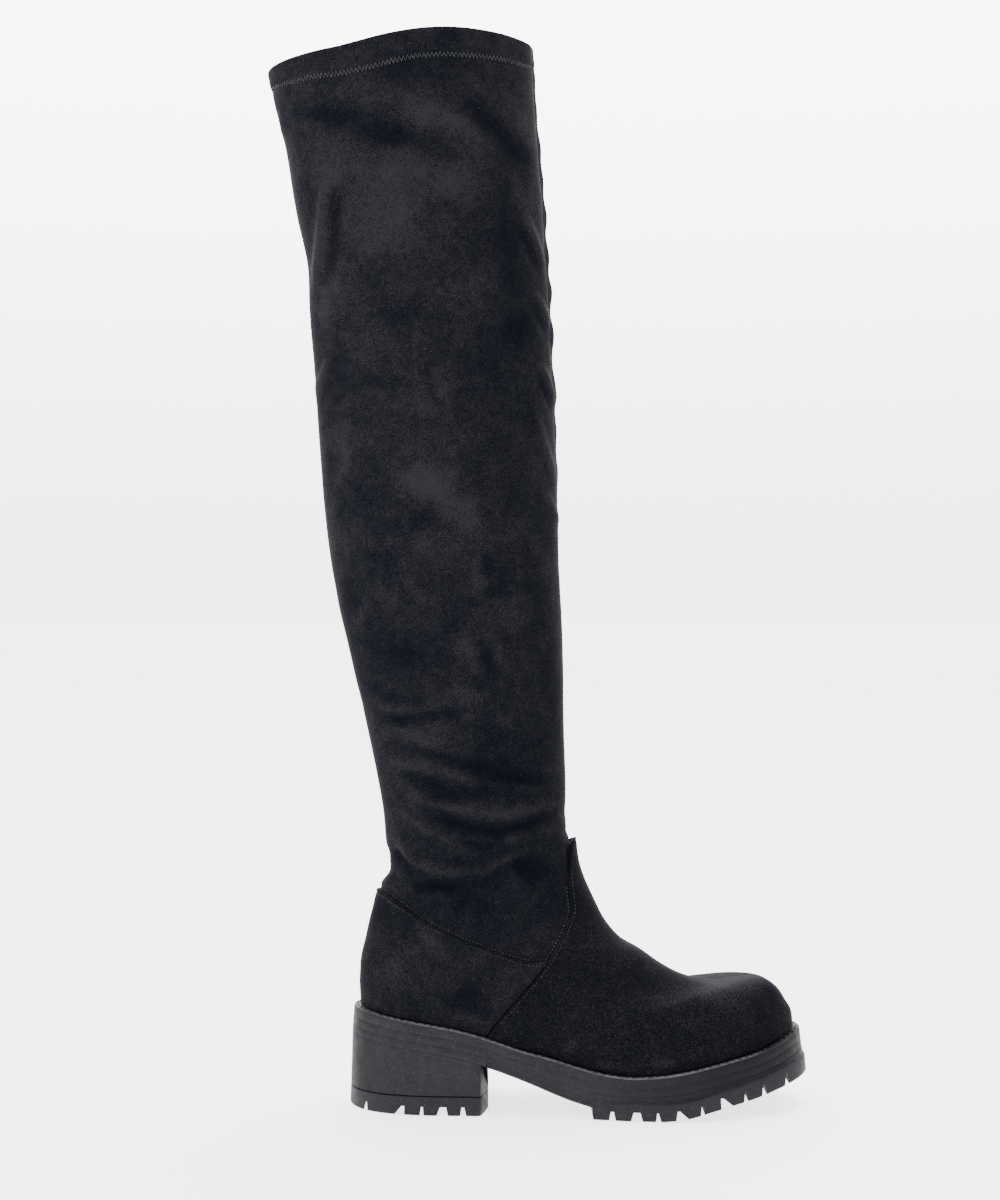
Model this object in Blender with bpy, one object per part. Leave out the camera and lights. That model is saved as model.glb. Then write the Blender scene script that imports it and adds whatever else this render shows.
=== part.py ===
"""Thigh high boot for the right foot: a hollow stretch upper on a lugged sole with a block heel.

Metres, +Z up, +X to the toe, -Y to the outer side. The origin is on the floor under the heel.
"""
import math
from collections import namedtuple

import bmesh
import bpy
import numpy as np

# Last
LAST_LENGTH = 0.2603        # heel to toe along the feather line, inside the panels
LAST_BACK = -0.0313         # heel end of the feather line
LAST_WIDTH = 0.086          # across the ball at the feather line
HEEL_HEIGHT = 0.060         # top of the welt at the back
BALL_HEIGHT = 0.025         # top of the welt at its lowest, under the ball
TOE_RISE = 0.022            # how far the welt climbs from there to the toe

# Upper
INSTEP_LIFT = 0.128         # from the feather line up to the vamp's point
SHAFT_LIFT = 0.476          # from there up to the collar's front
SHAFT_DEPTH = 0.161         # collar, front to back
SHAFT_WIDTH = 0.100         # collar, side to side
ANKLE_WIDTH = 0.071
WALL = 0.0018
COLLAR_BOW = 0.0052         # how far its front half rises over a straight line
BOW_START = 0.28            # share of its depth where that rise begins
BOW_POWER = 1.3
HEM_WALL = 0.0026
HEM_DEPTH = 0.017
PANEL = 0.0014              # thickness of the vamp and of the counter
CLEAR = 0.0003              # between pieces that meet
INSOLE = 0.003

# Sole
WELT_MARGIN = 0.004         # how far the welt stands out beyond the panels
WELT = 0.0055
WELT_EDGE = 0.0008          # rounding of its rim
TOE_FLARE = 0.004           # how far the sole spreads below the welt, at the toe
BREAST = 0.0441             # foremost line of the heel's rounded front face
BREAST_DEPTH = 0.0046       # how far that face falls back at its sides
BREAST_INSET = 0.022        # from the side to its foremost line
TOP_LIFT = 0.0115           # height of the heel's lowest layer
TREAD_SHARE = 0.5332        # rear edge of the forefoot lugs, as a share of the last
TREAD_START = LAST_BACK + TREAD_SHARE * LAST_LENGTH
ARCH_HEIGHT = 0.0300        # underside of the sole where it meets the heel
SHANK = 0.0025              # outsole thickness through the arch
TOE_SPRING = 0.0197
LUG = 0.0055
OUTSOLE = 0.0045            # outsole above the lugs
RIBS = (0.0050, 0.0098)     # how far below the midsole's top its two side grooves run
RIB_LIMITS = (0.50, 0.75)   # their lowest places where the midsole is thin, as shares of it
GROOVE = 0.0007             # depth of those grooves
GROOVE_HALF = 0.0004
EDGE_BEVEL = 0.0015         # around the lugs' lower edge
LUG_GAP = 0.004
CHANNEL = 0.0045            # lengthwise channels in the tread
CHANNEL_SIDE = 0.012        # from the middle of the tread to a channel

SIDE_STEPS = 18             # columns along one side of the upper
SEAM_REACH = 0.060          # how far a seam's cutter runs past the boot
HEM_STEP = 0.05             # part of a level over which the wall thickens to the hem
GROOVE_REACH = 1.6          # length of a cross groove's cutter in lug heights
TURN_STEP = 1e-3            # between the points that give the outline's direction
TIP = 1e-9                  # half width below which the outline ends in one point


def table(names, rows):
    """Columns of numbers, read by name."""
    columns = [np.array(column, dtype=float) for column in zip(*rows)]
    return namedtuple("Table", names)(*columns)


# Height of the feather line: shares of heel height over ball height, and of toe rise
FEATHER = table("station heel toe", [
    (0.000, 1.000, 0.000),
    (0.063, 0.914, 0.000),
    (0.216, 0.729, 0.000),
    (0.270, 0.629, 0.000),
    (0.366, 0.400, 0.000),
    (0.456, 0.229, 0.000),
    (0.512, 0.114, 0.000),
    (0.570, 0.029, 0.000),
    (0.623, 0.000, 0.000),
    (0.681, 0.000, 0.045),
    (0.735, 0.000, 0.136),
    (0.793, 0.000, 0.273),
    (0.850, 0.000, 0.410),
    (0.908, 0.000, 0.560),
    (0.973, 0.000, 0.840),
    (1.000, 0.000, 1.000),
])

# Feather line from above: shares of last length and last width
OUTLINE = table("station outer inner", [
    (0.000, 0.000, 0.000),
    (0.030, 0.190, 0.190),
    (0.080, 0.275, 0.275),
    (0.160, 0.328, 0.328),
    (0.280, 0.350, 0.325),
    (0.400, 0.372, 0.305),
    (0.520, 0.425, 0.360),
    (0.620, 0.475, 0.450),
    (0.700, 0.490, 0.510),
    (0.780, 0.465, 0.520),
    (0.860, 0.395, 0.480),
    (0.930, 0.290, 0.375),
    (0.975, 0.175, 0.235),
    (1.000, 0.000, 0.000),
])

# Sections of the foot. Lifts are shares of the instep lift above the feather line, front and
# back are shares of last length, girth is a share of ankle width
FOOT = table("front_lift back_lift front back spread oval girth follow", [
    (0.000, 0.000, 1.000, 0.000, 1.000, 0.00, 1.00, 1.00),
    (0.062, 0.062, 0.997, -0.002, 1.035, 0.00, 1.00, 1.00),
    (0.125, 0.109, 0.984, -0.003, 1.040, 0.03, 1.00, 1.00),
    (0.188, 0.156, 0.969, -0.002, 1.020, 0.08, 1.00, 1.00),
    (0.242, 0.195, 0.948, -0.001, 0.985, 0.15, 1.00, 1.00),
    (0.280, 0.227, 0.925, 0.001, 0.955, 0.22, 0.99, 1.00),
    (0.298, 0.258, 0.900, 0.004, 0.925, 0.28, 0.98, 1.00),
    (0.307, 0.297, 0.850, 0.009, 0.895, 0.35, 0.96, 1.00),
    (0.315, 0.336, 0.812, 0.013, 0.875, 0.42, 0.95, 0.95),
    (0.333, 0.375, 0.779, 0.017, 0.860, 0.50, 0.94, 0.90),
    (0.374, 0.418, 0.740, 0.022, 0.850, 0.60, 0.92, 0.80),
    (0.441, 0.469, 0.693, 0.028, 0.840, 0.70, 0.91, 0.70),
    (0.519, 0.523, 0.644, 0.034, 0.830, 0.80, 0.91, 0.55),
    (0.577, 0.570, 0.597, 0.042, 0.830, 0.88, 0.92, 0.40),
    (0.648, 0.621, 0.564, 0.053, 0.830, 0.94, 0.93, 0.30),
    (0.742, 0.672, 0.537, 0.063, 0.830, 1.00, 0.94, 0.20),
    (0.918, 0.766, 0.494, 0.054, 0.830, 1.00, 0.97, 0.05),
    (1.000, 0.812, 0.483, 0.052, 0.830, 1.00, 1.00, 0.00),
])

# Sections of the shaft. Lifts are shares of shaft lift above the foot's last section,
# back and front are shares of shaft depth from the heel's middle, width of shaft width,
# bow of the collar's rise
SHAFT = table("front_lift back_lift front back width bow", [
    (0.030, 0.029, 0.571, -0.118, 0.720, 0.000),
    (0.075, 0.073, 0.573, -0.140, 0.740, 0.000),
    (0.150, 0.146, 0.566, -0.188, 0.780, 0.000),
    (0.230, 0.223, 0.561, -0.244, 0.830, 0.000),
    (0.310, 0.301, 0.553, -0.296, 0.880, 0.000),
    (0.400, 0.388, 0.546, -0.334, 0.920, 0.000),
    (0.490, 0.475, 0.539, -0.356, 0.940, 0.000),
    (0.580, 0.563, 0.528, -0.374, 0.945, 0.000),
    (0.670, 0.650, 0.514, -0.393, 0.950, 0.000),
    (0.740, 0.718, 0.500, -0.403, 0.960, 0.000),
    (0.820, 0.795, 0.483, -0.448, 0.975, 0.000),
    (0.900, 0.873, 0.463, -0.488, 0.990, 0.200),
    (0.965, 0.936, 0.452, -0.536, 1.000, 0.600),
    (1.000, 0.970, 0.447, -0.554, 1.000, 1.000),
])

# Seams seen from the side: shares of last length, and of instep lift above the feather line
VAMP_SEAM = table("station lift", [
    (0.492, 1.040),
    (0.476, 0.973),
    (0.477, 0.824),
    (0.483, 0.695),
    (0.470, 0.605),
    (0.442, 0.484),
    (0.407, 0.364),
    (0.361, 0.228),
    (0.309, 0.073),
    (0.280, -0.030),
])
COUNTER_SEAM = table("station lift", [
    (0.030, 0.560),
    (0.054, 0.552),
    (0.099, 0.520),
    (0.143, 0.477),
    (0.193, 0.441),
    (0.249, 0.416),
    (0.312, 0.410),
    (0.375, 0.412),
    (0.425, 0.436),
])
SEAMS_MEET = 5              # row of the vamp seam just above which the counter seam joins it

# Underside: shares of last length, of arch height and of toe spring
ARCH = table("station height", [
    (0.272, 1.000),
    (0.293, 0.953),
    (0.366, 0.733),
    (0.435, 0.500),
    (0.489, 0.333),
    (0.533, 0.227),
])
SPRING = table("station height", [
    (0.690, 0.000),
    (0.731, 0.050),
    (0.766, 0.150),
    (0.793, 0.254),
    (0.839, 0.406),
    (0.889, 0.558),
    (0.931, 0.710),
    (0.964, 0.848),
    (1.000, 1.000),
])
FLARE = table("station spread", [
    (0.000, 0.600),
    (0.300, 0.200),
    (0.500, 0.200),
    (0.700, 0.400),
    (0.900, 0.750),
    (1.000, 1.000),
])

# Cross grooves of the tread: middles as shares of last length, widths as shares of lug gap
GROOVES = table("root root_width mouth mouth_width", [
    (0.0108, 0.35, 0.0108, 0.60),
    (0.0980, 0.45, 0.0895, 1.50),
    (0.1414, 0.35, 0.1414, 0.60),
    (0.1902, 0.92, 0.1882, 1.75),
    (0.2355, 0.40, 0.2363, 0.95),
    (0.5736, 0.50, 0.5736, 1.00),
    (0.6293, 1.10, 0.6281, 1.75),
    (0.6765, 0.35, 0.6769, 0.80),
    (0.7226, 0.35, 0.7326, 2.10),
    (0.7772, 0.40, 0.7772, 0.60),
    (0.8217, 0.40, 0.8348, 2.00),
    (0.8782, 0.40, 0.8782, 0.65),
    (0.9220, 0.45, 0.9220, 0.75),
    (0.9788, 0.35, 0.9788, 0.60),
])
HEEL_GROOVES = 5            # the first rows cut the heel, the others the forefoot

# Levels of the sole's side, as shares of the way from the welt down to the floor
WELT_SHARES = (0.00, 0.14)
MIDSOLE_SHARES = (0.15, 0.30, 0.45)
LOW_SHARE = 0.82            # where the midsole meets the outsole and the top lift
HEEL_CHANNEL_BACK = 0.018   # share of last length
TREAD_CHANNEL_FRONT = 0.900


def smooth(xs, ys, at):
    """Monotone cubic through a table's points, flat beyond its ends."""
    step = np.diff(xs)
    slope = np.diff(ys) / step
    tangent = np.zeros(len(xs))
    tangent[0], tangent[-1] = slope[0], slope[-1]
    for i in range(1, len(xs) - 1):
        if slope[i - 1] * slope[i] > 0:
            near = 2 * step[i] + step[i - 1]
            far = step[i] + 2 * step[i - 1]
            tangent[i] = (near + far) / (near / slope[i - 1] + far / slope[i])
    at = np.clip(at, xs[0], xs[-1])
    k = np.clip(np.searchsorted(xs, at, side="right") - 1, 0, len(step) - 1)
    t = (at - xs[k]) / step[k]
    rest = 1 - t
    return (ys[k] * (1 + 2 * t) * rest ** 2 + ys[k + 1] * t ** 2 * (3 - 2 * t)
            + step[k] * t * rest * (tangent[k] * rest - tangent[k + 1] * t))


def along(station):
    """X of a share of the last's length."""
    return LAST_BACK + LAST_LENGTH * station


def station_of(x):
    """Share of the last's length at X."""
    return (np.asarray(x, dtype=float) - LAST_BACK) / LAST_LENGTH


def turn_to_share(turn):
    """Turn 0 is the back, 1 the front; even turns crowd the stations at both round ends."""
    return (1 - np.cos(np.pi * turn)) / 2


def share_to_turn(share):
    """The turn at which a share of the length is reached."""
    return np.arccos(1 - 2 * np.clip(share, 0, 1)) / np.pi


RIM_TURNS = np.linspace(0, 1, SIDE_STEPS + 1)
RIM_STATIONS = turn_to_share(RIM_TURNS)


def feather(x):
    """Height of the feather line, straight between the upper's columns so that pieces nest."""
    def height(s):
        heel = smooth(FEATHER.station, FEATHER.heel, s) * (HEEL_HEIGHT - BALL_HEIGHT)
        toe = smooth(FEATHER.station, FEATHER.toe, s) * TOE_RISE
        return BALL_HEIGHT + heel + toe
    return np.interp(station_of(x), RIM_STATIONS, height(RIM_STATIONS))


def outline(turn, side):
    """Half width of the last's outline; side is -1 for outer, 1 for inner."""
    column = OUTLINE.outer if side < 0 else OUTLINE.inner
    return LAST_WIDTH * smooth(share_to_turn(OUTLINE.station), column, turn)


def ring_rows():
    """Every section of foot and shaft in real lengths, one column per quantity."""
    foot_back = FOOT.back_lift * INSTEP_LIFT
    shaft_back = foot_back[-1] + SHAFT.back_lift * SHAFT_LIFT
    ones = np.ones(len(SHAFT.width))
    return {
        "front_lift": np.r_[FOOT.front_lift * INSTEP_LIFT, INSTEP_LIFT + SHAFT.front_lift * SHAFT_LIFT],
        "back_lift": np.r_[foot_back, shaft_back],
        "front": np.r_[along(FOOT.front), SHAFT.front * SHAFT_DEPTH],
        "back": np.r_[along(FOOT.back), SHAFT.back * SHAFT_DEPTH],
        "spread": np.r_[FOOT.spread, FOOT.spread[-1] * ones],
        "oval": np.r_[FOOT.oval, ones],
        "half": np.r_[FOOT.girth * ANKLE_WIDTH, SHAFT.width * SHAFT_WIDTH] / 2,
        "follow": np.r_[FOOT.follow, 0 * ones],
        "bow": np.r_[0 * FOOT.follow, SHAFT.bow * COLLAR_BOW],
    }


RINGS = ring_rows()
ANKLE_ROW = len(FOOT.front) - 1
TOP_ROW = len(RINGS["front"]) - 1


def upper_grid(levels):
    """Points of the upper's outer face: one row per level, one column around."""
    rows = np.arange(TOP_ROW + 1, dtype=float)
    back_turns = RIM_TURNS[1:-1][::-1]
    grid = []
    for level in levels:
        ring = {name: float(smooth(rows, values, level)) for name, values in RINGS.items()}
        ends = feather(np.array([ring["back"], ring["front"]]))
        for turns, side in ((RIM_TURNS, -1), (back_turns, 1)):
            share = turn_to_share(turns)
            x = ring["back"] + (ring["front"] - ring["back"]) * share
            foot = ring["spread"] * outline(turns, side)
            oval = ring["half"] * np.sin(np.pi * turns)
            y = side * ((1 - ring["oval"]) * foot + ring["oval"] * oval)
            chord = ends[0] + (ends[1] - ends[0]) * share
            lift = ring["back_lift"] + (ring["front_lift"] - ring["back_lift"]) * share
            z = chord + lift + ring["follow"] * (feather(x) - chord) + CLEAR
            arch = np.sin(np.pi * np.clip((share - BOW_START) / (1 - BOW_START), 0, 1))
            z = z + ring["bow"] * arch ** BOW_POWER
            grid.append(np.stack([x, y, z], axis=1))
    outer, inner = grid[0::2], grid[1::2]
    return np.array([np.vstack(pair) for pair in zip(outer, inner)])


def grid_normals(grid):
    """Outward directions on a closed grid of rings, level along the feather line."""
    around = np.roll(grid, -1, axis=1) - np.roll(grid, 1, axis=1)
    up = np.gradient(grid, axis=0)
    normal = np.cross(around, up)
    normal[0, :, 2] = 0
    return normal / np.linalg.norm(normal, axis=2, keepdims=True)


def material(name, colour, roughness):
    """Principled material of one piece."""
    finish = bpy.data.materials.new(name)
    finish.use_nodes = True
    shader = finish.node_tree.nodes["Principled BSDF"]
    shader.inputs["Base Color"].default_value = (*colour, 1)
    shader.inputs["Roughness"].default_value = roughness
    shader.inputs["Metallic"].default_value = 0.0
    return finish


def solid(name, verts, faces, finish):
    """An object from points and faces, with its faces turned outwards."""
    mesh = bpy.data.meshes.new(name)
    mesh.from_pydata([tuple(map(float, v)) for v in verts], [], faces)
    work = bmesh.new()
    work.from_mesh(mesh)
    bmesh.ops.recalc_face_normals(work, faces=work.faces)
    work.to_mesh(mesh)
    work.free()
    piece = bpy.data.objects.new(name, mesh)
    bpy.context.scene.collection.objects.link(piece)
    if finish:
        mesh.materials.append(finish)
        mesh.shade_smooth()
        mesh.set_sharp_from_angle(angle=math.radians(40))
    return piece


def shell(name, grid, outside, inside, finish):
    """Hollow tube between two offsets of a grid of rings, open at both ends."""
    normal = grid_normals(grid)
    rings, columns = grid.shape[:2]
    faces = grid + normal * np.asarray(outside)[..., None, None]
    backs = grid + normal * np.asarray(inside)[..., None, None]
    verts = np.vstack([faces.reshape(-1, 3), backs.reshape(-1, 3)])
    behind = rings * columns
    quads = []
    for c in range(columns):
        d = (c + 1) % columns
        for r in range(rings - 1):
            a, b = r * columns + c, r * columns + d
            quads.append((a, b, b + columns, a + columns))
            quads.append((a + behind, a + columns + behind, b + columns + behind, b + behind))
        for r in (0, rings - 1):
            a, b = r * columns + c, r * columns + d
            quads.append((a, a + behind, b + behind, b))
    return solid(name, verts, quads, finish)


def foot_levels():
    """Rings of the foot: one per section, two where the toe turns over."""
    halves = [0.5, 1.5]
    return sorted(list(range(ANKLE_ROW + 1)) + halves)


def hem_level():
    """The level at which the folded hem begins."""
    last = RINGS["front_lift"][-1] - RINGS["front_lift"][-2]
    return TOP_ROW - HEM_DEPTH / last


def build_upper():
    """Foot and shaft in one hollow piece; the hem is a step in its wall."""
    hem = hem_level()
    shaft = [level for level in range(ANKLE_ROW + 1, TOP_ROW + 1)]
    levels = sorted(foot_levels() + shaft + [hem - HEM_STEP, hem])
    wall = [HEM_WALL if level >= hem else WALL for level in levels]
    grid = upper_grid(levels)
    return shell("upper", grid, np.zeros(len(levels)), -np.array(wall),
                 material("stretch_suede", (0.022, 0.020, 0.020), 0.95))


def seam_points(seam, shift=0.0):
    """A seam's points from the side, moved back by shift."""
    x = along(seam.station)
    z = feather(x) + seam.lift * INSTEP_LIFT
    return [(float(a) - shift, float(b)) for a, b in zip(x, z)]


def prism(name, points, half_width):
    """Cutter: an outline seen from the side, run straight through the boot."""
    count = len(points)
    verts = [(x, -half_width, z) for x, z in points] + [(x, half_width, z) for x, z in points]
    faces = [tuple(range(count)), tuple(range(2 * count - 1, count - 1, -1))]
    for i in range(count):
        j = (i + 1) % count
        faces.append((i, i + count, j + count, j))
    cutter = solid(name, verts, faces, None)
    cutter.hide_render = True
    cutter.display_type = "WIRE"
    return cutter


def cut(piece, cutter, operation):
    """Boolean of a piece with a hidden cutter."""
    modifier = piece.modifiers.new(cutter.name, "BOOLEAN")
    modifier.operation = operation
    modifier.solver = "EXACT"
    modifier.object = cutter


def panel_form(name, finish):
    """The larger form that a panel is cut from, one clearance outside the upper."""
    levels = foot_levels() + [ANKLE_ROW + 1]
    count = len(levels)
    return shell(name, upper_grid(levels), np.full(count, CLEAR + PANEL), np.full(count, CLEAR),
                 finish)


def build_vamp():
    """Front panel, from its point on the shin down to the sole."""
    seam = seam_points(VAMP_SEAM)
    toe = along(1.0) + SEAM_REACH
    piece = panel_form("vamp", material("vamp_suede", (0.020, 0.018, 0.019), 0.93))
    below = -SEAM_REACH
    cut(piece, prism("vamp_cutter", seam + [(seam[-1][0], below), (toe, below), (toe, seam[0][1])],
                     LAST_WIDTH), "INTERSECT")
    return piece


def build_counter():
    """Rear panel around the heel, up to its seam and forward to the vamp."""
    upper_seam = seam_points(COUNTER_SEAM)
    front_seam = seam_points(VAMP_SEAM, shift=CLEAR + CLEAR)[SEAMS_MEET + 1:]
    back = along(0.0) - SEAM_REACH
    below = -SEAM_REACH
    piece = panel_form("counter", material("counter_suede", (0.021, 0.019, 0.019), 0.93))
    points = [(back, upper_seam[0][1])] + upper_seam + front_seam
    points += [(front_seam[-1][0], below), (back, below)]
    cut(piece, prism("counter_cutter", points, LAST_WIDTH), "INTERSECT")
    return piece


def rim_offset(x, share):
    """How far the sole's side stands outside the last, at a share of the way down."""
    flare = TOE_FLARE * smooth(FLARE.station, FLARE.spread, station_of(x))
    return CLEAR + PANEL + WELT_MARGIN + flare * share


def floor(x):
    """Underside of the sole in front of the heel."""
    s = station_of(x)
    arch = ARCH_HEIGHT * smooth(ARCH.station, ARCH.height, s)
    spring = TOE_SPRING * smooth(SPRING.station, SPRING.height, s)
    return np.where(np.asarray(x) <= TREAD_START, arch, spring)


def outsole_top(x):
    """Upper face of the outsole: thin through the arch, full height over the tread."""
    s = station_of(x)
    tread = LUG + OUTSOLE + TOE_SPRING * smooth(SPRING.station, SPRING.height, s)
    arch = SHANK + ARCH_HEIGHT * smooth(ARCH.station, ARCH.height, s)
    return np.maximum(tread, arch)


def breast_inset(xs):
    """Inset of the side where the heel's front face curves back, and its stations."""
    share = (xs - (BREAST - BREAST_DEPTH)) / BREAST_DEPTH
    return np.where((share > 0) & (xs <= BREAST), BREAST_INSET * share ** 2, 0.0)


def breast_stations():
    """X of the stations that draw the heel's front face."""
    return [BREAST - BREAST_DEPTH * share for share in (1.0, 0.6, 0.25)]


def sole_stations(start, end, extra=()):
    """X of the sole's stations between two ends, in step with the upper's columns."""
    columns = along(RIM_STATIONS)
    inside = [x for x in columns if start < x < end]
    return np.array(sorted(inside + [start, end] + list(extra)))


def outline_points(xs, offset, side):
    """Points of one side of the sole's outline, offset along its normal."""
    turn = share_to_turn(station_of(xs))
    before, after = np.clip(turn - TURN_STEP, 0, 1), np.clip(turn + TURN_STEP, 0, 1)
    dx = along(turn_to_share(after)) - along(turn_to_share(before))
    dy = outline(after, side) - outline(before, side)
    length = np.hypot(dx, dy)
    tip = outline(turn, side) < TIP
    nx = np.where(tip, np.where(turn < 0.5, -1.0, 1.0), -dy / length)
    ny = np.where(tip, 0.0, dx / length)
    return xs + offset * nx, side * (outline(turn, side) + offset * ny)


def layer(name, xs, levels, finish):
    """Solid of the sole from outlines stacked downwards; a level is offsets and heights."""
    verts, loops, rungs = [], [], []
    for offset, height in levels:
        outer = outline_points(xs, offset, -1)
        inner = outline_points(xs, offset, 1)
        first, ladder = len(verts), []
        for i in range(len(xs)):
            verts.append((outer[0][i], outer[1][i], height[i]))
            ladder.append([first + i, first + i])
        loop = list(range(first, len(verts)))
        for i in reversed(range(len(xs))):
            if abs(inner[1][i]) > TIP:
                ladder[i][1] = len(verts)
                loop.append(len(verts))
                verts.append((inner[0][i], inner[1][i], height[i]))
        loops.append(loop)
        rungs.append(ladder)
    faces = []
    for upper, lower in zip(loops, loops[1:]):
        for i in range(len(upper)):
            j = (i + 1) % len(upper)
            faces.append((upper[i], upper[j], lower[j], lower[i]))
    for ladder in (rungs[0], rungs[-1]):
        for (a, b), (c, d) in zip(ladder, ladder[1:]):
            faces.append(tuple(dict.fromkeys((a, c, d, b))))
    return solid(name, verts, faces, finish)


def build_insole():
    """Sock lining inside the upper, on top of the welt layer."""
    xs = sole_stations(along(0.0), along(1.0))
    inside = np.full(len(xs), -(WALL + CLEAR + CLEAR + CLEAR))
    base = feather(xs) + CLEAR
    return layer("insole", xs, [(inside, base + INSOLE), (inside, base)],
                 material("insole_board", (0.10, 0.09, 0.085), 0.85))


def build_welt():
    """Top layer of the sole, whose rim stands out around the upper."""
    xs = sole_stations(along(0.0), along(1.0))
    top = feather(xs)
    levels = [
        (rim_offset(xs, WELT_SHARES[0]) - WELT_EDGE, top),
        (rim_offset(xs, WELT_SHARES[0]), top - WELT_EDGE),
        (rim_offset(xs, WELT_SHARES[1]), top - WELT + WELT_EDGE),
        (rim_offset(xs, WELT_SHARES[1]) - WELT_EDGE, top - WELT),
    ]
    return layer("welt", xs, levels, material("welt_rubber", (0.045, 0.045, 0.050), 0.55))


def build_midsole():
    """Middle layer with the heel block, ribbed along its side."""
    extra = breast_stations() + [BREAST, BREAST + CLEAR, TREAD_START]
    xs = sole_stations(along(0.0), along(1.0), extra)
    top = feather(xs) - WELT - CLEAR
    bottom = np.where(xs <= BREAST, TOP_LIFT, outsole_top(xs)) + CLEAR
    depth = top - bottom
    levels = [(rim_offset(xs, MIDSOLE_SHARES[0]), top)]
    for share, down, most in zip(MIDSOLE_SHARES[1:], RIBS, RIB_LIMITS):
        middle = top - np.minimum(down, depth * most)
        side = rim_offset(xs, share)
        levels += [(side, middle + GROOVE_HALF), (side - GROOVE, middle), (side, middle - GROOVE_HALF)]
    under = np.maximum(middle - 3 * GROOVE_HALF, bottom + GROOVE_HALF)
    levels.append((rim_offset(xs, MIDSOLE_SHARES[-1]) - breast_inset(xs), under))
    levels.append((rim_offset(xs, LOW_SHARE) - breast_inset(xs), bottom))
    return layer("midsole", xs, levels, material("midsole_rubber", (0.042, 0.042, 0.047), 0.5))


def tread_cutter(name, rows):
    """Cross grooves, wider at the floor than at their root."""
    verts, faces = [], []
    for i in rows:
        root, mouth = along(GROOVES.root[i]), along(GROOVES.mouth[i])
        base = 0.0 if i < HEEL_GROOVES else float(floor(mouth))
        ends = []
        for share in (0.0, GROOVE_REACH):
            middle = root + (mouth - root) * share
            wide = GROOVES.root_width[i] + (GROOVES.mouth_width[i] - GROOVES.root_width[i]) * share
            ends.append((middle, wide * LUG_GAP / 2, base + LUG * (1 - share)))
        first = len(verts)
        for y in (-LAST_WIDTH, LAST_WIDTH):
            for middle, half, z in ends:
                verts.append((middle - half, y, z))
                verts.append((middle + half, y, z))
        near, far = [first + k for k in (0, 1, 3, 2)], [first + k for k in (4, 5, 7, 6)]
        faces += [tuple(near), tuple(far)]
        for k in range(4):
            j = (k + 1) % 4
            faces.append((near[k], near[j], far[j], far[k]))
    cutter = solid(name, verts, faces, None)
    cutter.hide_render = True
    cutter.display_type = "WIRE"
    return cutter


def channel_cutter(name, start, end, heights):
    """Two lengthwise channels that part the lugs into three columns."""
    xs = np.linspace(start, end, len(heights))
    below = -3 * LUG
    verts, faces = [], []
    for side in (-1, 1):
        first = len(verts)
        for x, z in zip(xs, heights):
            for y in (CHANNEL_SIDE - CHANNEL / 2, CHANNEL_SIDE + CHANNEL / 2):
                verts.append((x, side * y, z))
                verts.append((x, side * y, below))
        for k in range(len(xs) - 1):
            a, b = first + 4 * k, first + 4 * (k + 1)
            faces += [(a, b, b + 2, a + 2), (a + 1, a + 3, b + 3, b + 1),
                      (a, a + 1, b + 1, b), (a + 2, b + 2, b + 3, a + 3)]
        last = first + 4 * (len(xs) - 1)
        faces += [(first, first + 2, first + 3, first + 1), (last, last + 1, last + 3, last + 2)]
    cutter = solid(name, verts, faces, None)
    cutter.hide_render = True
    cutter.display_type = "WIRE"
    return cutter


def build_outsole():
    """Tread layer from the heel's front face to the toe, with its lugs cut out."""
    front = TREAD_START + CLEAR
    xs = sole_stations(BREAST + CLEAR + CLEAR, along(1.0), (TREAD_START, front))
    levels = [
        (rim_offset(xs, LOW_SHARE), outsole_top(xs)),
        (rim_offset(xs, 1.0), floor(xs) + EDGE_BEVEL),
        (rim_offset(xs, 1.0) - EDGE_BEVEL, floor(xs)),
    ]
    piece = layer("outsole", xs, levels, material("outsole_rubber", (0.040, 0.040, 0.045), 0.5))
    cut(piece, tread_cutter("tread_cutter", range(HEEL_GROOVES, len(GROOVES.root))), "DIFFERENCE")
    start, end = TREAD_START - LUG_GAP, along(TREAD_CHANNEL_FRONT)
    roof = floor(np.linspace(front, end, 7)) + LUG - CLEAR - CLEAR
    cut(piece, channel_cutter("channel_cutter", start, end, roof), "DIFFERENCE")
    return piece


def build_top_lift():
    """Lowest layer of the heel, with its lugs cut out."""
    xs = sole_stations(along(0.0), BREAST, breast_stations())
    flat = np.zeros(len(xs))
    corner = breast_inset(xs)
    levels = [
        (rim_offset(xs, LOW_SHARE) - corner, flat + TOP_LIFT),
        (rim_offset(xs, 1.0) - corner, flat + EDGE_BEVEL),
        (rim_offset(xs, 1.0) - corner - EDGE_BEVEL, flat),
    ]
    piece = layer("heel_top_lift", xs, levels,
                  material("top_lift_rubber", (0.038, 0.038, 0.043), 0.5))
    cut(piece, tread_cutter("heel_groove_cutter", range(HEEL_GROOVES)), "DIFFERENCE")
    start, end = along(HEEL_CHANNEL_BACK), BREAST + LUG_GAP
    roof = np.full(2, LUG - CLEAR - CLEAR)
    cut(piece, channel_cutter("heel_channel_cutter", start, end, roof), "DIFFERENCE")
    return piece


def main():
    """Clear the scene and build every piece."""
    for item in list(bpy.data.objects):
        bpy.data.objects.remove(item, do_unlink=True)
    build_upper()
    build_vamp()
    build_counter()
    build_insole()
    build_welt()
    build_midsole()
    build_outsole()
    build_top_lift()


main()
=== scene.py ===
"""Looks of a thigh high boot: stretch upper with its folds, sewn panels and a dressed lug sole.

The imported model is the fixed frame: metres, +Z up, +X to the toe, -Y to the outer side.
"""
from __future__ import annotations

import logging
import math
from dataclasses import dataclass, field
from enum import Enum
from functools import cached_property
from typing import ClassVar, Sequence

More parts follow.
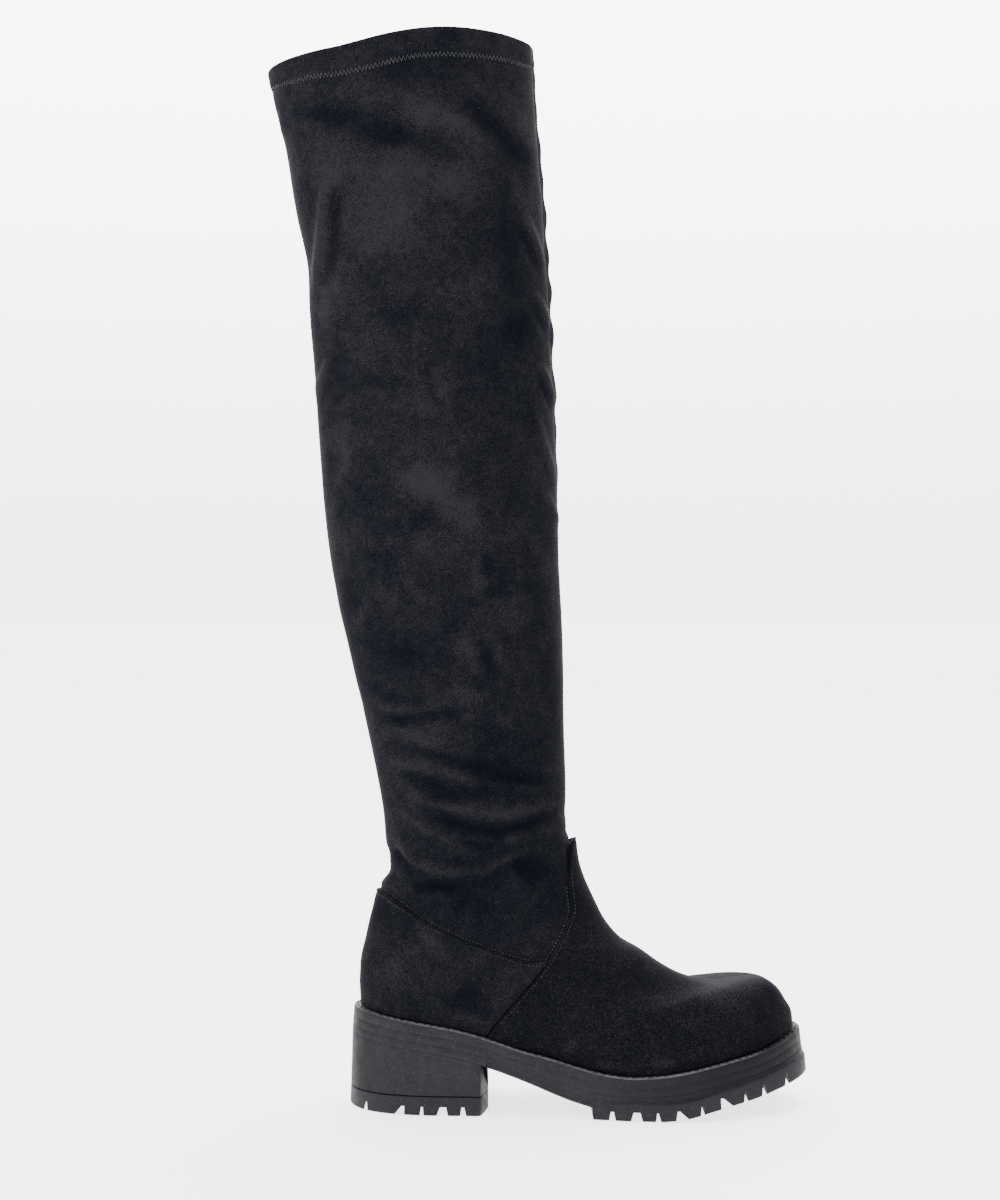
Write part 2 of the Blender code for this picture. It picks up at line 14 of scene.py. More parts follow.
import bmesh
import bpy
import numpy as np
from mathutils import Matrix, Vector


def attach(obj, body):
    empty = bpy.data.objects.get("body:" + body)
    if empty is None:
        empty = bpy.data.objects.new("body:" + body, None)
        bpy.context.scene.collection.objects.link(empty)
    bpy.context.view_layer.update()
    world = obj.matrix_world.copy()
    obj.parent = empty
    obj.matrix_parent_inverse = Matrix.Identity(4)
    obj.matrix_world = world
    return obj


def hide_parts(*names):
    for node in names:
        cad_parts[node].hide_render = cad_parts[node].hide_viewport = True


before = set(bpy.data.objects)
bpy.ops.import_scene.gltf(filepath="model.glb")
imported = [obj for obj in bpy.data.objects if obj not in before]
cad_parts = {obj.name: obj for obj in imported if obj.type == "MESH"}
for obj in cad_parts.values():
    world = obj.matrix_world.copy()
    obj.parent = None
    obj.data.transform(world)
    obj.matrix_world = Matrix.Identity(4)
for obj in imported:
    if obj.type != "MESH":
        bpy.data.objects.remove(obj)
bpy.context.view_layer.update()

Array = np.ndarray
Loop = list[int]
Pair = tuple[float, float]
Pairs = tuple[Pair, ...]
# An outline of a layer: metres outside the last, and heights
Level = tuple[Array, Array]
Place = tuple[float, float, float]
Colour = tuple[float, float, float]
Socket = bpy.types.NodeSocket
Piece = bpy.types.Object
LOG = logging.getLogger("boot")
MM = 0.001
WHITE = (1.0, 1.0, 1.0, 1.0)
# An edge bent by more than this stays sharp
SHARP = math.radians(32)
# Where a Mix node keeps its two colours and its mixed colour
MIX_COLOURS = (6, 7)
MIX_RESULT = 2
# Numbers without a pattern, for the lattice of the smooth noise
LATTICE = np.array([127.1, 311.7, 74.7])
LATTICE_SPREAD = 43758.5453
SEED_STEP = 17.31
# A width under which two sides meet
NOTHING = 1e-9


class Side(Enum):
    """Which side of the boot a fold or a seam lies on."""

    OUTER = -1
    BOTH = 0
    INNER = 1


class Table:
    """Columns of numbers, read by name."""

    def __init__(self, names: str, rows: Sequence[Sequence[float]]) -> None:
        """Keep one array per column."""
        self.columns = dict(zip(names.split(), np.array(rows, dtype=float).T))

    def __getitem__(self, name: str) -> Array:
        """A column by its name."""
        return self.columns[name]


FEATHER = Table("station heel toe", [
    (0.0, 1.0, 0.0), (0.063, 0.914, 0.0), (0.216, 0.729, 0.0), (0.27, 0.629, 0.0), (0.366, 0.4, 0.0),
    (0.456, 0.229, 0.0), (0.512, 0.114, 0.0), (0.57, 0.029, 0.0), (0.623, 0.0, 0.0),
    (0.681, 0.0, 0.045), (0.735, 0.0, 0.136), (0.793, 0.0, 0.273), (0.85, 0.0, 0.41),
    (0.908, 0.0, 0.56), (0.973, 0.0, 0.84), (1.0, 0.0, 1.0),
])
OUTLINE = Table("station outer inner", [
    (0.0, 0.0, 0.0), (0.03, 0.19, 0.19), (0.08, 0.275, 0.275), (0.16, 0.328, 0.328),
    (0.28, 0.35, 0.325), (0.4, 0.372, 0.305), (0.52, 0.425, 0.36), (0.62, 0.475, 0.45),
    (0.7, 0.49, 0.51), (0.78, 0.465, 0.52), (0.86, 0.395, 0.48), (0.93, 0.29, 0.375),
    (0.975, 0.175, 0.235), (1.0, 0.0, 0.0),
])
FOOT = Table("front_lift back_lift front back spread oval girth follow", [
    (0.000, 0.000, 1.000, 0.000, 1.000, 0.00, 1.00, 1.00),
    (0.062, 0.062, 0.997, -0.002, 1.035, 0.00, 1.00, 1.00),
    (0.125, 0.109, 0.984, -0.003, 1.040, 0.03, 1.00, 1.00),
    (0.188, 0.156, 0.969, -0.002, 1.020, 0.08, 1.00, 1.00),
    (0.242, 0.195, 0.948, -0.001, 0.985, 0.15, 1.00, 1.00),
    (0.280, 0.227, 0.925, 0.001, 0.955, 0.22, 0.99, 1.00),
    (0.298, 0.258, 0.900, 0.004, 0.925, 0.28, 0.98, 1.00),
    (0.307, 0.297, 0.850, 0.009, 0.895, 0.35, 0.96, 1.00),
    (0.315, 0.336, 0.812, 0.013, 0.875, 0.42, 0.95, 0.95),
    (0.333, 0.375, 0.779, 0.017, 0.860, 0.50, 0.94, 0.90),
    (0.374, 0.418, 0.740, 0.022, 0.850, 0.60, 0.92, 0.80),
    (0.441, 0.469, 0.693, 0.028, 0.840, 0.70, 0.91, 0.70),
    (0.519, 0.523, 0.644, 0.034, 0.830, 0.80, 0.91, 0.55),
    (0.577, 0.570, 0.597, 0.042, 0.830, 0.88, 0.92, 0.40),
    (0.648, 0.621, 0.564, 0.053, 0.830, 0.94, 0.93, 0.30),
    (0.742, 0.672, 0.537, 0.063, 0.830, 1.00, 0.94, 0.20),
    (0.918, 0.766, 0.494, 0.054, 0.830, 1.00, 0.97, 0.05),
    (1.000, 0.812, 0.483, 0.052, 0.830, 1.00, 1.00, 0.00),
])
SHAFT = Table("front_lift back_lift front back width bow", [
    (0.030, 0.029, 0.571, -0.118, 0.720, 0.0),
    (0.075, 0.073, 0.573, -0.140, 0.740, 0.0),
    (0.150, 0.146, 0.566, -0.188, 0.780, 0.0),
    (0.230, 0.223, 0.561, -0.244, 0.830, 0.0),
    (0.310, 0.301, 0.553, -0.296, 0.880, 0.0),
    (0.400, 0.388, 0.546, -0.334, 0.920, 0.0),
    (0.490, 0.475, 0.539, -0.356, 0.940, 0.0),
    (0.580, 0.563, 0.528, -0.374, 0.945, 0.0),
    (0.670, 0.650, 0.514, -0.393, 0.950, 0.0),
    (0.740, 0.718, 0.500, -0.403, 0.960, 0.0),
    (0.820, 0.795, 0.483, -0.448, 0.975, 0.0),
    (0.900, 0.873, 0.463, -0.488, 0.990, 0.2),
    (0.965, 0.936, 0.452, -0.536, 1.000, 0.6),
    (1.000, 0.970, 0.447, -0.554, 1.000, 1.0),
])
VAMP_SEAM = Table("station lift", [
    (0.28, -0.03), (0.309, 0.073), (0.361, 0.228), (0.407, 0.364), (0.442, 0.484), (0.47, 0.605),
    (0.483, 0.695), (0.477, 0.824), (0.476, 0.973), (0.492, 1.04),
])
COUNTER_SEAM = Table("station lift", [
    (0.03, 0.56), (0.054, 0.552), (0.099, 0.52), (0.143, 0.477), (0.193, 0.441), (0.249, 0.416),
    (0.312, 0.41), (0.375, 0.412), (0.425, 0.436),
])
ARCH = Table("station height", [
    (0.272, 1.0), (0.293, 0.953), (0.366, 0.733), (0.435, 0.5), (0.489, 0.333), (0.533, 0.227),
])
SPRING = Table("station height", [
    (0.69, 0.0), (0.731, 0.05), (0.766, 0.15), (0.793, 0.254), (0.839, 0.406), (0.889, 0.558),
    (0.931, 0.71), (0.964, 0.848), (1.0, 1.0),
])
FLARE = Table("station spread", [
    (0.0, 0.6), (0.3, 0.2), (0.5, 0.2), (0.7, 0.4), (0.9, 0.75), (1.0, 1.0),
])
GROOVES = Table("root root_width mouth mouth_width", [
    (0.0108, 0.35, 0.0108, 0.60),
    (0.0980, 0.45, 0.0895, 1.50),
    (0.1414, 0.35, 0.1414, 0.60),
    (0.1902, 0.92, 0.1882, 1.75),
    (0.2355, 0.40, 0.2363, 0.95),
    (0.5736, 0.50, 0.5736, 1.00),
    (0.6293, 1.10, 0.6281, 1.75),
    (0.6765, 0.35, 0.6769, 0.80),
    (0.7226, 0.35, 0.7326, 2.10),
    (0.7772, 0.40, 0.7772, 0.60),
    (0.8217, 0.40, 0.8348, 2.00),
    (0.8782, 0.40, 0.8782, 0.65),
    (0.9220, 0.45, 0.9220, 0.75),
    (0.9788, 0.35, 0.9788, 0.60),
])
HEEL_GROOVES = 5
ANKLE_ROW = len(FOOT["front"]) - 1
TOP_ROW = ANKLE_ROW + len(SHAFT["front"])


def smooth(xs: Array, ys: Array, at: Array | float) -> Array:
    """Monotone cubic through a table's points, flat beyond its ends.

    Args:
        xs: Rising places of the points.
        ys: Their values.
        at: Places to read.

    Returns:
        The values there.
    """
    step = np.diff(xs)
    slope = np.diff(ys) / step
    tangent = np.zeros(len(xs))
    tangent[0], tangent[-1] = slope[0], slope[-1]
    for i in range(1, len(xs) - 1):
        if slope[i - 1] * slope[i] > 0:
            near = 2 * step[i] + step[i - 1]
            far = step[i] + 2 * step[i - 1]
            tangent[i] = (near + far) / (near / slope[i - 1] + far / slope[i])
    at = np.clip(at, xs[0], xs[-1])
    k = np.clip(np.searchsorted(xs, at, side="right") - 1, 0, len(step) - 1)
    t = (at - xs[k]) / step[k]
    rest = 1 - t
    return (ys[k] * (1 + 2 * t) * rest ** 2 + ys[k + 1] * t ** 2 * (3 - 2 * t)
            + step[k] * t * rest * (tangent[k] * rest - tangent[k + 1] * t))


def ease(value: Array | float) -> Array:
    """Smooth step from 0 to 1 as a value goes from 0 to 1."""
    t = np.clip(value, 0, 1)
    return t * t * (3 - 2 * t)


def bell(distance: Array, width: float) -> Array:
    """Soft bump, 1 at no distance and nearly 0 at twice the width."""
    return np.exp(-(distance / width) ** 2)


def cloud(points: Array, size: float, seed: int) -> Array:
    """Smooth noise between -1 and 1 that is the same on each run.

    Args:
        points: Places, one row each.
        size: Distance between the noise's lumps, in metres.
        seed: Which noise it is.

    Returns:
        One value for each place.
    """
    scaled = points / size + seed * SEED_STEP
    cell = np.floor(scaled)
    part = scaled - cell
    part = part * part * (3 - 2 * part)
    total = np.zeros(len(points))
    for corner in np.ndindex(2, 2, 2):
        mixed = np.sin((cell + np.array(corner)) @ LATTICE) * LATTICE_SPREAD
        value = (mixed - np.floor(mixed)) * 2 - 1
        weight = np.prod(np.where(np.array(corner) == 1, part, 1 - part), axis=1)
        total += value * weight
    return total


@dataclass(frozen=True)
class BootForm:
    """The boot's own surface, worked out from its sizes as in the solids."""

    last_length: float = 0.2603
    last_back: float = -0.0313
    last_width: float = 0.086
    heel_height: float = 0.060
    ball_height: float = 0.025
    toe_rise: float = 0.022
    instep_lift: float = 0.128
    shaft_lift: float = 0.476
    shaft_depth: float = 0.161
    shaft_width: float = 0.100
    ankle_width: float = 0.071
    collar_bow: float = 0.0052
    bow_start: float = 0.28
    bow_power: float = 1.3
    clear: float = 0.0003
    step: float = 0.004

    def along(self, station: Array | float) -> Array:
        """X of a share of the last's length."""
        return self.last_back + self.last_length * np.asarray(station)

    def station(self, x: Array | float) -> Array:
        """Share of the last's length at X."""
        return (np.asarray(x) - self.last_back) / self.last_length

    def feather(self, x: Array | float) -> Array:
        """Height of the feather line at X.

        Args:
            x: Places along the boot.

        Returns:
            Heights in metres.
        """
        s = self.station(x)
        heel = smooth(FEATHER["station"], FEATHER["heel"], s)
        toe = smooth(FEATHER["station"], FEATHER["toe"], s)
        return self.ball_height + heel * (self.heel_height - self.ball_height) + toe * self.toe_rise

    def outline(self, turn: Array, inner: Array | bool) -> Array:
        """Half width of the last's outline on the inner or the outer side.

        Args:
            turn: 0 at the heel's end, 1 at the toe's.
            inner: Whether it is the inner side.

        Returns:
            Half widths in metres.
        """
        turns = np.arccos(1 - 2 * OUTLINE["station"]) / math.pi
        sides = [self.last_width * smooth(turns, OUTLINE[name], turn) for name in ("outer", "inner")]
        return np.where(inner, sides[1], sides[0])

    @cached_property
    def rings(self) -> dict[str, Array]:
        """Every section of foot and shaft in real lengths.

        Returns:
            One array for each measure, with a value for each section.
        """
        foot_back = FOOT["back_lift"] * self.instep_lift
        ones = np.ones(len(SHAFT["width"]))
        front_lift = self.instep_lift + SHAFT["front_lift"] * self.shaft_lift
        halves = np.r_[FOOT["girth"] * self.ankle_width, SHAFT["width"] * self.shaft_width] / 2
        return {
            "front_lift": np.r_[FOOT["front_lift"] * self.instep_lift, front_lift],
            "back_lift": np.r_[foot_back, foot_back[-1] + SHAFT["back_lift"] * self.shaft_lift],
            "front": np.r_[self.along(FOOT["front"]), SHAFT["front"] * self.shaft_depth],
            "back": np.r_[self.along(FOOT["back"]), SHAFT["back"] * self.shaft_depth],
            "spread": np.r_[FOOT["spread"], FOOT["spread"][-1] * ones],
            "oval": np.r_[FOOT["oval"], ones],
            "half": halves,
            "follow": np.r_[FOOT["follow"], 0 * ones],
            "bow": np.r_[0 * FOOT["follow"], SHAFT["bow"] * self.collar_bow],
        }

    def surface(self, level: Array | float, around: Array | float) -> Array:
        """Points of the upper's outer face.

        Args:
            level: Row of the sections' tables, in parts of a row.
            around: 0 at the back, 1 at the front by the outer side, 2 at the back again.

        Returns:
            Points, in the last axis X, Y and Z.
        """
        level, around = np.broadcast_arrays(np.asarray(level, float), np.mod(around, 2.0))
        rows = np.arange(TOP_ROW + 1, dtype=float)
        ring = {name: smooth(rows, values, level) for name, values in self.rings.items()}
        inner = around > 1
        turn = np.where(inner, 2 - around, around)
        share = (1 - np.cos(math.pi * turn)) / 2
        x = ring["back"] + (ring["front"] - ring["back"]) * share
        foot = ring["spread"] * self.outline(turn, inner)
        oval = ring["half"] * np.sin(math.pi * turn)
        y = np.where(inner, 1, -1) * ((1 - ring["oval"]) * foot + ring["oval"] * oval)
        low, high = self.feather(ring["back"]), self.feather(ring["front"])
        chord = low + (high - low) * share
        lift = ring["back_lift"] + (ring["front_lift"] - ring["back_lift"]) * share
        rise = np.clip((share - self.bow_start) / (1 - self.bow_start), 0, 1)
        bow = ring["bow"] * np.sin(math.pi * rise) ** self.bow_power
        z = chord + lift + ring["follow"] * (self.feather(x) - chord) + bow + self.clear
        return np.stack([x, y, z], axis=-1)

    def frame_at(self, level: Array, around: Array) -> tuple[Array, Array, Array]:
        """Points, unit normals and metres for one unit of around, at places on the surface.

        Args:
            level: Rows of the sections.
            around: How far round the places lie.

        Returns:
            Points, normals and paces.
        """
        level, around = np.broadcast_arrays(np.asarray(level, float), np.asarray(around, float))
        across = self.surface(level, around + self.step) - self.surface(level, around - self.step)
        up = self.surface(level + self.step, around) - self.surface(level - self.step, around)
        normal = np.cross(across, up)
        normal = normal / np.linalg.norm(normal, axis=-1, keepdims=True)
        pace = np.linalg.norm(across, axis=-1) / (2 * self.step)
        return self.surface(level, around), normal, pace


FORM = BootForm()


@dataclass(frozen=True)
class Fold:
    """A soft ridge or trough on a side of the boot, drawn as seen from the side.

    Attributes:
        path: X and Z of its points, in millimetres.
        height: How far it stands out, in millimetres; a trough's is negative.
        width: Half its width, in millimetres.
        side: The side that it lies on.
        reach: How far it is worked out, in widths.
        dip: Share of its height that the cloth gives way beside it.
        dip_width: Width of that dip, in widths.
        fade: Share of the path over which an end dies out.
        turn: Where the surface turns away from its side, and over how much.
        steps: Short steps for each stretch of the path.
    """

    path: Pairs
    height: float
    width: float
    side: Side = Side.OUTER
    reach: ClassVar[float] = 4.0
    dip: ClassVar[float] = 0.30
    dip_width: ClassVar[float] = 2.3
    fade: ClassVar[float] = 0.3
    turn: ClassVar[Pair] = (0.35, 0.45)
    steps: ClassVar[int] = 6

    def relief(self, points: Array, normals: Array) -> Array:
        """How far the fold moves each point out, in metres.

        Args:
            points: Places on the smooth form, one row each.
            normals: Directions outwards.

        Returns:
            One distance for each point.
        """
        line = self.curve()
        flat = points[:, [0, 2]] / MM
        near = np.full(len(flat), 1e9)
        share = np.zeros(len(flat))
        span = self.reach * self.width
        within = np.all((flat > line.min(axis=0) - span) & (flat < line.max(axis=0) + span), axis=1)
        picked = flat[within]
        close, where = near[within], share[within]
        steps = len(line) - 1
        for i in range(steps):
            edge = line[i + 1] - line[i]
            t = np.clip((picked - line[i]) @ edge / (edge @ edge), 0, 1)
            distance = np.linalg.norm(picked - line[i] - t[:, None] * edge, axis=1)
            better = distance < close
            close = np.where(better, distance, close)
            where = np.where(better, (i + t) / steps, where)
        near[within], share[within] = close, where
        body = bell(near, self.width) - self.dip * bell(near, self.dip_width * self.width)
        body = body * ease(share / self.fade) * ease((1 - share) / self.fade)
        facing = np.ones(len(flat))
        if self.side is not Side.BOTH:
            facing = ease((self.turn[0] + self.side.value * normals[:, 1]) / self.turn[1])
        return body * facing * self.height * MM

    def curve(self) -> Array:
        """The path as a smooth line of short steps.

        Returns:
            X and Z in millimetres, one row for each point.
        """
        points = np.array(self.path, dtype=float)
        if len(points) < 3:
            return points
        places = np.linspace(0, len(points) - 1, self.steps * (len(points) - 1) + 1)
        rows = np.arange(len(points), dtype=float)
        return np.stack([smooth(rows, points[:, k], places) for k in (0, 1)], axis=1)


SHAFT_FOLDS = (
    Fold(((-49, 566), (-54, 526), (-60, 484)), 3.0, 3.8),
    Fold(((-44, 556), (-47, 522), (-51, 490)), -2.0, 5.0),
    Fold(((-48, 454), (-54, 442), (-60, 430)), 2.0, 2.8),
    Fold(((-46, 440), (-52, 430), (-58, 420)), -1.2, 3.4),
    Fold(((4, 452), (12, 428), (18, 404)), -0.9, 2.6),
    Fold(((-81, 604), (-79, 586)), 1.0, 2.5),
    Fold(((25, 606), (47, 587), (61, 573), (70, 560)), -2.6, 8.0),
    Fold(((10, 596), (34, 578), (44, 566)), 1.6, 11.0),
    Fold(((-60, 596), (-40, 590), (-18, 582), (8, 572)), -1.3, 9.0),
    Fold(((64, 540), (71, 526), (79, 506)), 2.2, 2.6),
    Fold(((62, 532), (69, 516), (77, 498)), -1.6, 3.0),
    Fold(((70, 494), (77, 483), (83, 470)), 2.0, 2.2),
    Fold(((69, 484), (76, 474), (82, 462)), -1.3, 2.4),
    Fold(((74, 452), (81, 438), (87, 422)), 2.0, 2.2),
    Fold(((72, 446), (79, 432), (85, 416)), -1.3, 2.4),
    Fold(((72, 422), (79, 398), (86, 378)), 2.0, 2.8),
    Fold(((76, 376), (83, 363), (90, 350)), 1.7, 2.4),
    Fold(((-26, 254), (-12, 248), (2, 246), (19, 247)), -1.3, 4.0),
    Fold(((-26, 237), (-7, 235), (19, 239), (36, 233)), -2.2, 4.4),
    Fold(((-19, 222), (17, 212), (40, 206), (68, 200), (90, 196)), -2.8, 4.6),
    Fold(((-10, 214), (12, 209), (30, 203), (44, 194)), 1.6, 5.0),
    Fold(((-10, 204), (6, 200), (23, 194)), -2.0, 4.0),
    Fold(((-15, 195), (17, 185), (52, 179), (76, 183), (95, 185)), 2.0, 3.6),
    Fold(((-9, 184), (23, 175), (52, 169), (68, 173), (95, 181)), -2.4, 4.2),
    Fold(((-13, 186), (-2, 177), (12, 168), (36, 162)), 1.1, 3.0),
    Fold(((20, 166), (44, 160), (62, 163)), -1.4, 3.4),
    Fold(((38, 286), (43, 275), (49, 262)), -2.0, 3.0),
    Fold(((46, 292), (51, 278), (57, 260)), 1.2, 3.6),
    Fold(((-15, 169), (-7, 159), (3, 149), (21, 145), (40, 145), (60, 155), (84, 161)), 2.8, 3.2),
    Fold(((-13, 158), (-6, 149), (0, 140)), -1.8, 3.4),
    Fold(((-3, 133), (15, 136), (34, 134)), -2.6, 3.8),
    Fold(((32, 131), (28, 124), (24, 117)), -1.7, 3.0),
    Fold(((56, 151), (70, 147), (86, 143)), -2.2, 5.0),
    Fold(((36, 140), (48, 132), (56, 122)), 1.3, 5.0),
    Fold(((-24, 153), (-6, 150)), -1.5, 5.0, Side.BOTH),
    Fold(((-24, 134.5), (-14, 133), (-2, 128)), 1.6, 3.2, Side.BOTH),
    Fold(((84, 178), (92, 170)), 1.0, 2.6),
    Fold(((88, 168), (96, 163)), -1.0, 2.2),
)
INNER_FOLDS = tuple(Fold(path, height, width, Side.INNER) for path, height, width in (
    (((-30, 600), (10, 584), (50, 560)), -2.0, 9.0),
    (((-50, 540), (-56, 510), (-60, 480)), 1.6, 5.0),
    (((70, 470), (78, 440), (86, 415)), 1.2, 3.5),
    (((-22, 244), (0, 238), (28, 234)), -1.5, 5.0),
    (((-14, 216), (20, 206), (60, 200)), -1.7, 5.5),
    (((-14, 190), (10, 184), (30, 184)), -1.2, 4.0),
    (((-6, 164), (30, 158), (80, 172)), -1.5, 5.0),
    (((0, 134), (20, 134), (40, 140)), -1.8, 4.0),
))


@dataclass(frozen=True)
class Relief:
    """Everything that moves the stretch cloth away from the smooth form."""

    folds: tuple[Fold, ...] = SHAFT_FOLDS + INNER_FOLDS
    billow: float = 0.0007
    billow_size: float = 0.055
    ripple: float = 0.00022
    ripple_size: float = 0.014
    seam_depth: float = 0.0011
    seam_width: float = 0.0011
    pucker_length: float = 0.0085
    pucker_reach: float = 0.0075
    pucker_start: float = 0.0015
    pucker_end: float = 0.004
    # Painted highlight, a pale line of rim light along the edge beyond the front seam: its strength, its
    # distance past the seam and its half width
    seam_highlight_strength: float = 1.5
    seam_highlight_place: float = 0.0022
    seam_highlight_width: float = 0.0016

    # Rows at which the folds, the front seam and the calmer hem set in, and over how many rows
    fold_rows: Pair = (8.0, 5.0)
    seam_rows: Pair = (17.2, 0.8)
    hem_rows: Pair = (TOP_ROW - 1.2, 0.6)
    hem_calm: float = 0.7

    # Front seam: where it runs around the shaft at a row of the sections
    seam: Table = field(default_factory=lambda: Table("level around", [
        (17.5, 1.03), (20.0, 1.018), (22.0, 0.998), (24.0, 0.972), (27.0, 0.96), (31.0, 0.957),
    ]))
    # Scallops of the far panel along that seam: height above the floor and how far they stand out
    puckers: Table = field(default_factory=lambda: Table("z out", [
        (0.625, 0.0008), (0.604, 0.0007), (0.582, 0.0013), (0.563, 0.0012), (0.54, 0.0016),
        (0.516, 0.0019), (0.494, 0.002), (0.467, 0.0019), (0.437, 0.0017), (0.41, 0.0009),
        (0.385, 0.0007),
    ]))

    def past_seam(self, level: Array, around: Array, pace: Array) -> tuple[Array, Array]:
        """Distance past the front seam, in metres, and whether the shaft has it there."""
        beyond = (around - smooth(self.seam["level"], self.seam["around"], level)) * pace
        return beyond, self.setting_in(level, self.seam_rows)

    @staticmethod
    def setting_in(level: Array, rows: Pair) -> Array:
        """0 before a row of the sections, and 1 some rows after it."""
        return ease((level - rows[0]) / rows[1])

    def seam_highlight(self, level: Array, around: Array, pace: Array) -> Array:
        """Painted highlight, a pale line of rim light, on the edge beyond the front seam."""
        beyond, on_shaft = self.past_seam(level, around, pace)
        return self.seam_highlight_strength * bell(beyond - self.seam_highlight_place, self.seam_highlight_width) * on_shaft

    def height(self, level: Array, around: Array, points: Array, normals: Array,
               pace: Array) -> Array:
        """How far each place of the surface moves along its normal.

        Args:
            level: Rows of the places.
            around: How far round they lie.
            points: The places themselves, one row each.
            normals: Directions outwards.
            pace: Metres for one unit of around.

        Returns:
            Distances in metres.
        """
        out = np.zeros(len(points))
        for fold in self.folds:
            out += fold.relief(points, normals)
        above = self.setting_in(level, self.fold_rows)
        out *= above
        calm = 1 - self.hem_calm * self.setting_in(level, self.hem_rows)
        out += self.billow * cloud(points, self.billow_size, 3) * above
        out += self.ripple * cloud(points, self.ripple_size, 5) * above * calm
        beyond, on_shaft = self.past_seam(level, around, pace)
        out -= self.seam_depth * bell(beyond, self.seam_width) * on_shaft
        lobe = np.zeros(len(points))
        for z, size in zip(self.puckers["z"], self.puckers["out"]):
            lobe += size * bell(points[:, 2] - z, self.pucker_length)
        reach = ease(beyond / self.pucker_start) * (1 - ease((beyond - self.pucker_end) / self.pucker_reach))
        return out + lobe * reach * on_shaft


RELIEF = Relief()

# Lighter and darker patches of the suede, ovals as seen from the side, in millimetres and degrees: partly
# nap brushed this way and that, partly painted light and shade, such as the painted highlight on the toe's
# top and painted shade by the ankle, on the calf and under the hem
NAP_PATCHES_AND_PAINTED_LIGHT = Table("x z long wide turn tone", [
    (42, 135, 52, 27, 0, -0.56), (45, 198, 58, 40, 0, -0.32), (0, 626, 80, 18, -8, -0.26),
    (8, 455, 40, 60, 0, 0.12), (28, 300, 24, 44, 0, 0.13), (64, 480, 9, 40, 6, -0.2),
    (10, 592, 31, 7, -22, 0.6), (-16, 537, 27, 34, 0, 0.42), (21, 552, 18, 11, 0, 0.36),
    (-45, 560, 14, 5, 60, 0.42), (-50, 484, 5, 30, -6, 0.45), (-28, 454, 13, 18, 0, 0.4),
    (14, 432, 17, 11, 10, 0.34), (34, 495, 12, 9, 0, 0.34), (64, 588, 5, 12, 10, 0.32),
    (-49, 594, 15, 8, 0, -0.8), (-7, 579, 24, 7, -14, -0.62), (21, 636, 8, 6, 0, -0.55),
    (56, 520, 9, 42, 6, -0.46), (-10, 476, 12, 8, 0, -0.42), (63, 466, 9, 9, 0, -0.45),
    (-45, 511, 5, 10, 0, -0.4), (39, 466, 8, 3, 50, -0.34), (11, 371, 19, 12, -12, 0.75),
    (27, 358, 10, 10, 0, 0.5), (7, 339, 8, 5, 0, 0.42), (-11, 336, 6, 5, 0, 0.38),
    (32, 402, 7, 12, -20, 0.36), (-42, 392, 4, 36, -8, 0.48), (-31, 302, 4, 13, -14, 0.44),
    (38, 320, 3, 9, 0, 0.52), (61, 296, 2.5, 12, 0, 0.3), (34, 278, 7, 7, -40, 0.45),
    (33, 251, 8, 5, 0, 0.62), (31, 237, 6, 3.5, 0, 0.52), (56, 235, 9, 4.5, -48, 0.62),
    (-13, 245, 12, 3.5, -4, 0.46), (1, 228, 19, 3.5, -10, 0.42), (28, 208, 9, 6, -35, 0.4),
    (-7, 208, 9, 4, 0, 0.35), (44, 184, 24, 4, 0, 0.46), (1, 183, 12, 3, -24, 0.34),
    (60, 163, 5, 5, 0, 0.4), (57, 161, 9, 4, 30, 0.35), (61, 136, 9, 7, 0, 0.34),
    (46, 318, 8, 14, 0, -0.3), (21, 296, 9, 13, 0, -0.32), (52, 279, 9, 11, 0, -0.3),
    (80, 275, 7, 34, 0, -0.3), (40, 191, 24, 8, 0, -0.4), (-1, 386, 12, 4, 20, -0.34),
    (3, 349, 15, 4, 10, -0.4), (-20, 327, 9, 9, 0, -0.36), (-7, 274, 18, 8, 0, -0.42),
    (-36, 308, 4, 11, -14, -0.34), (70, 141, 7, 4, -20, -0.5), (-9, 84, 7, 13, 0, 0.5),
    (11, 101, 5, 9, 30, 0.52), (36, 90, 6, 6, 0, 0.4), (0, 96, 6, 5, 0, 0.34),
    (-19, 114, 9, 7, 0, -0.45), (30, 71, 15, 6, 0, -0.5), (197, 78, 15, 7, -6, 0.9),
    (184, 71, 14, 8, -30, 0.5), (160, 62, 16, 10, -30, 0.22), (150, 36, 6, 3, 0, 0.45),
    (116, 32, 5, 3, 0, 0.42), (94, 43, 3, 6, 0, 0.48), (214, 69, 5, 8, 0, -0.5),
])


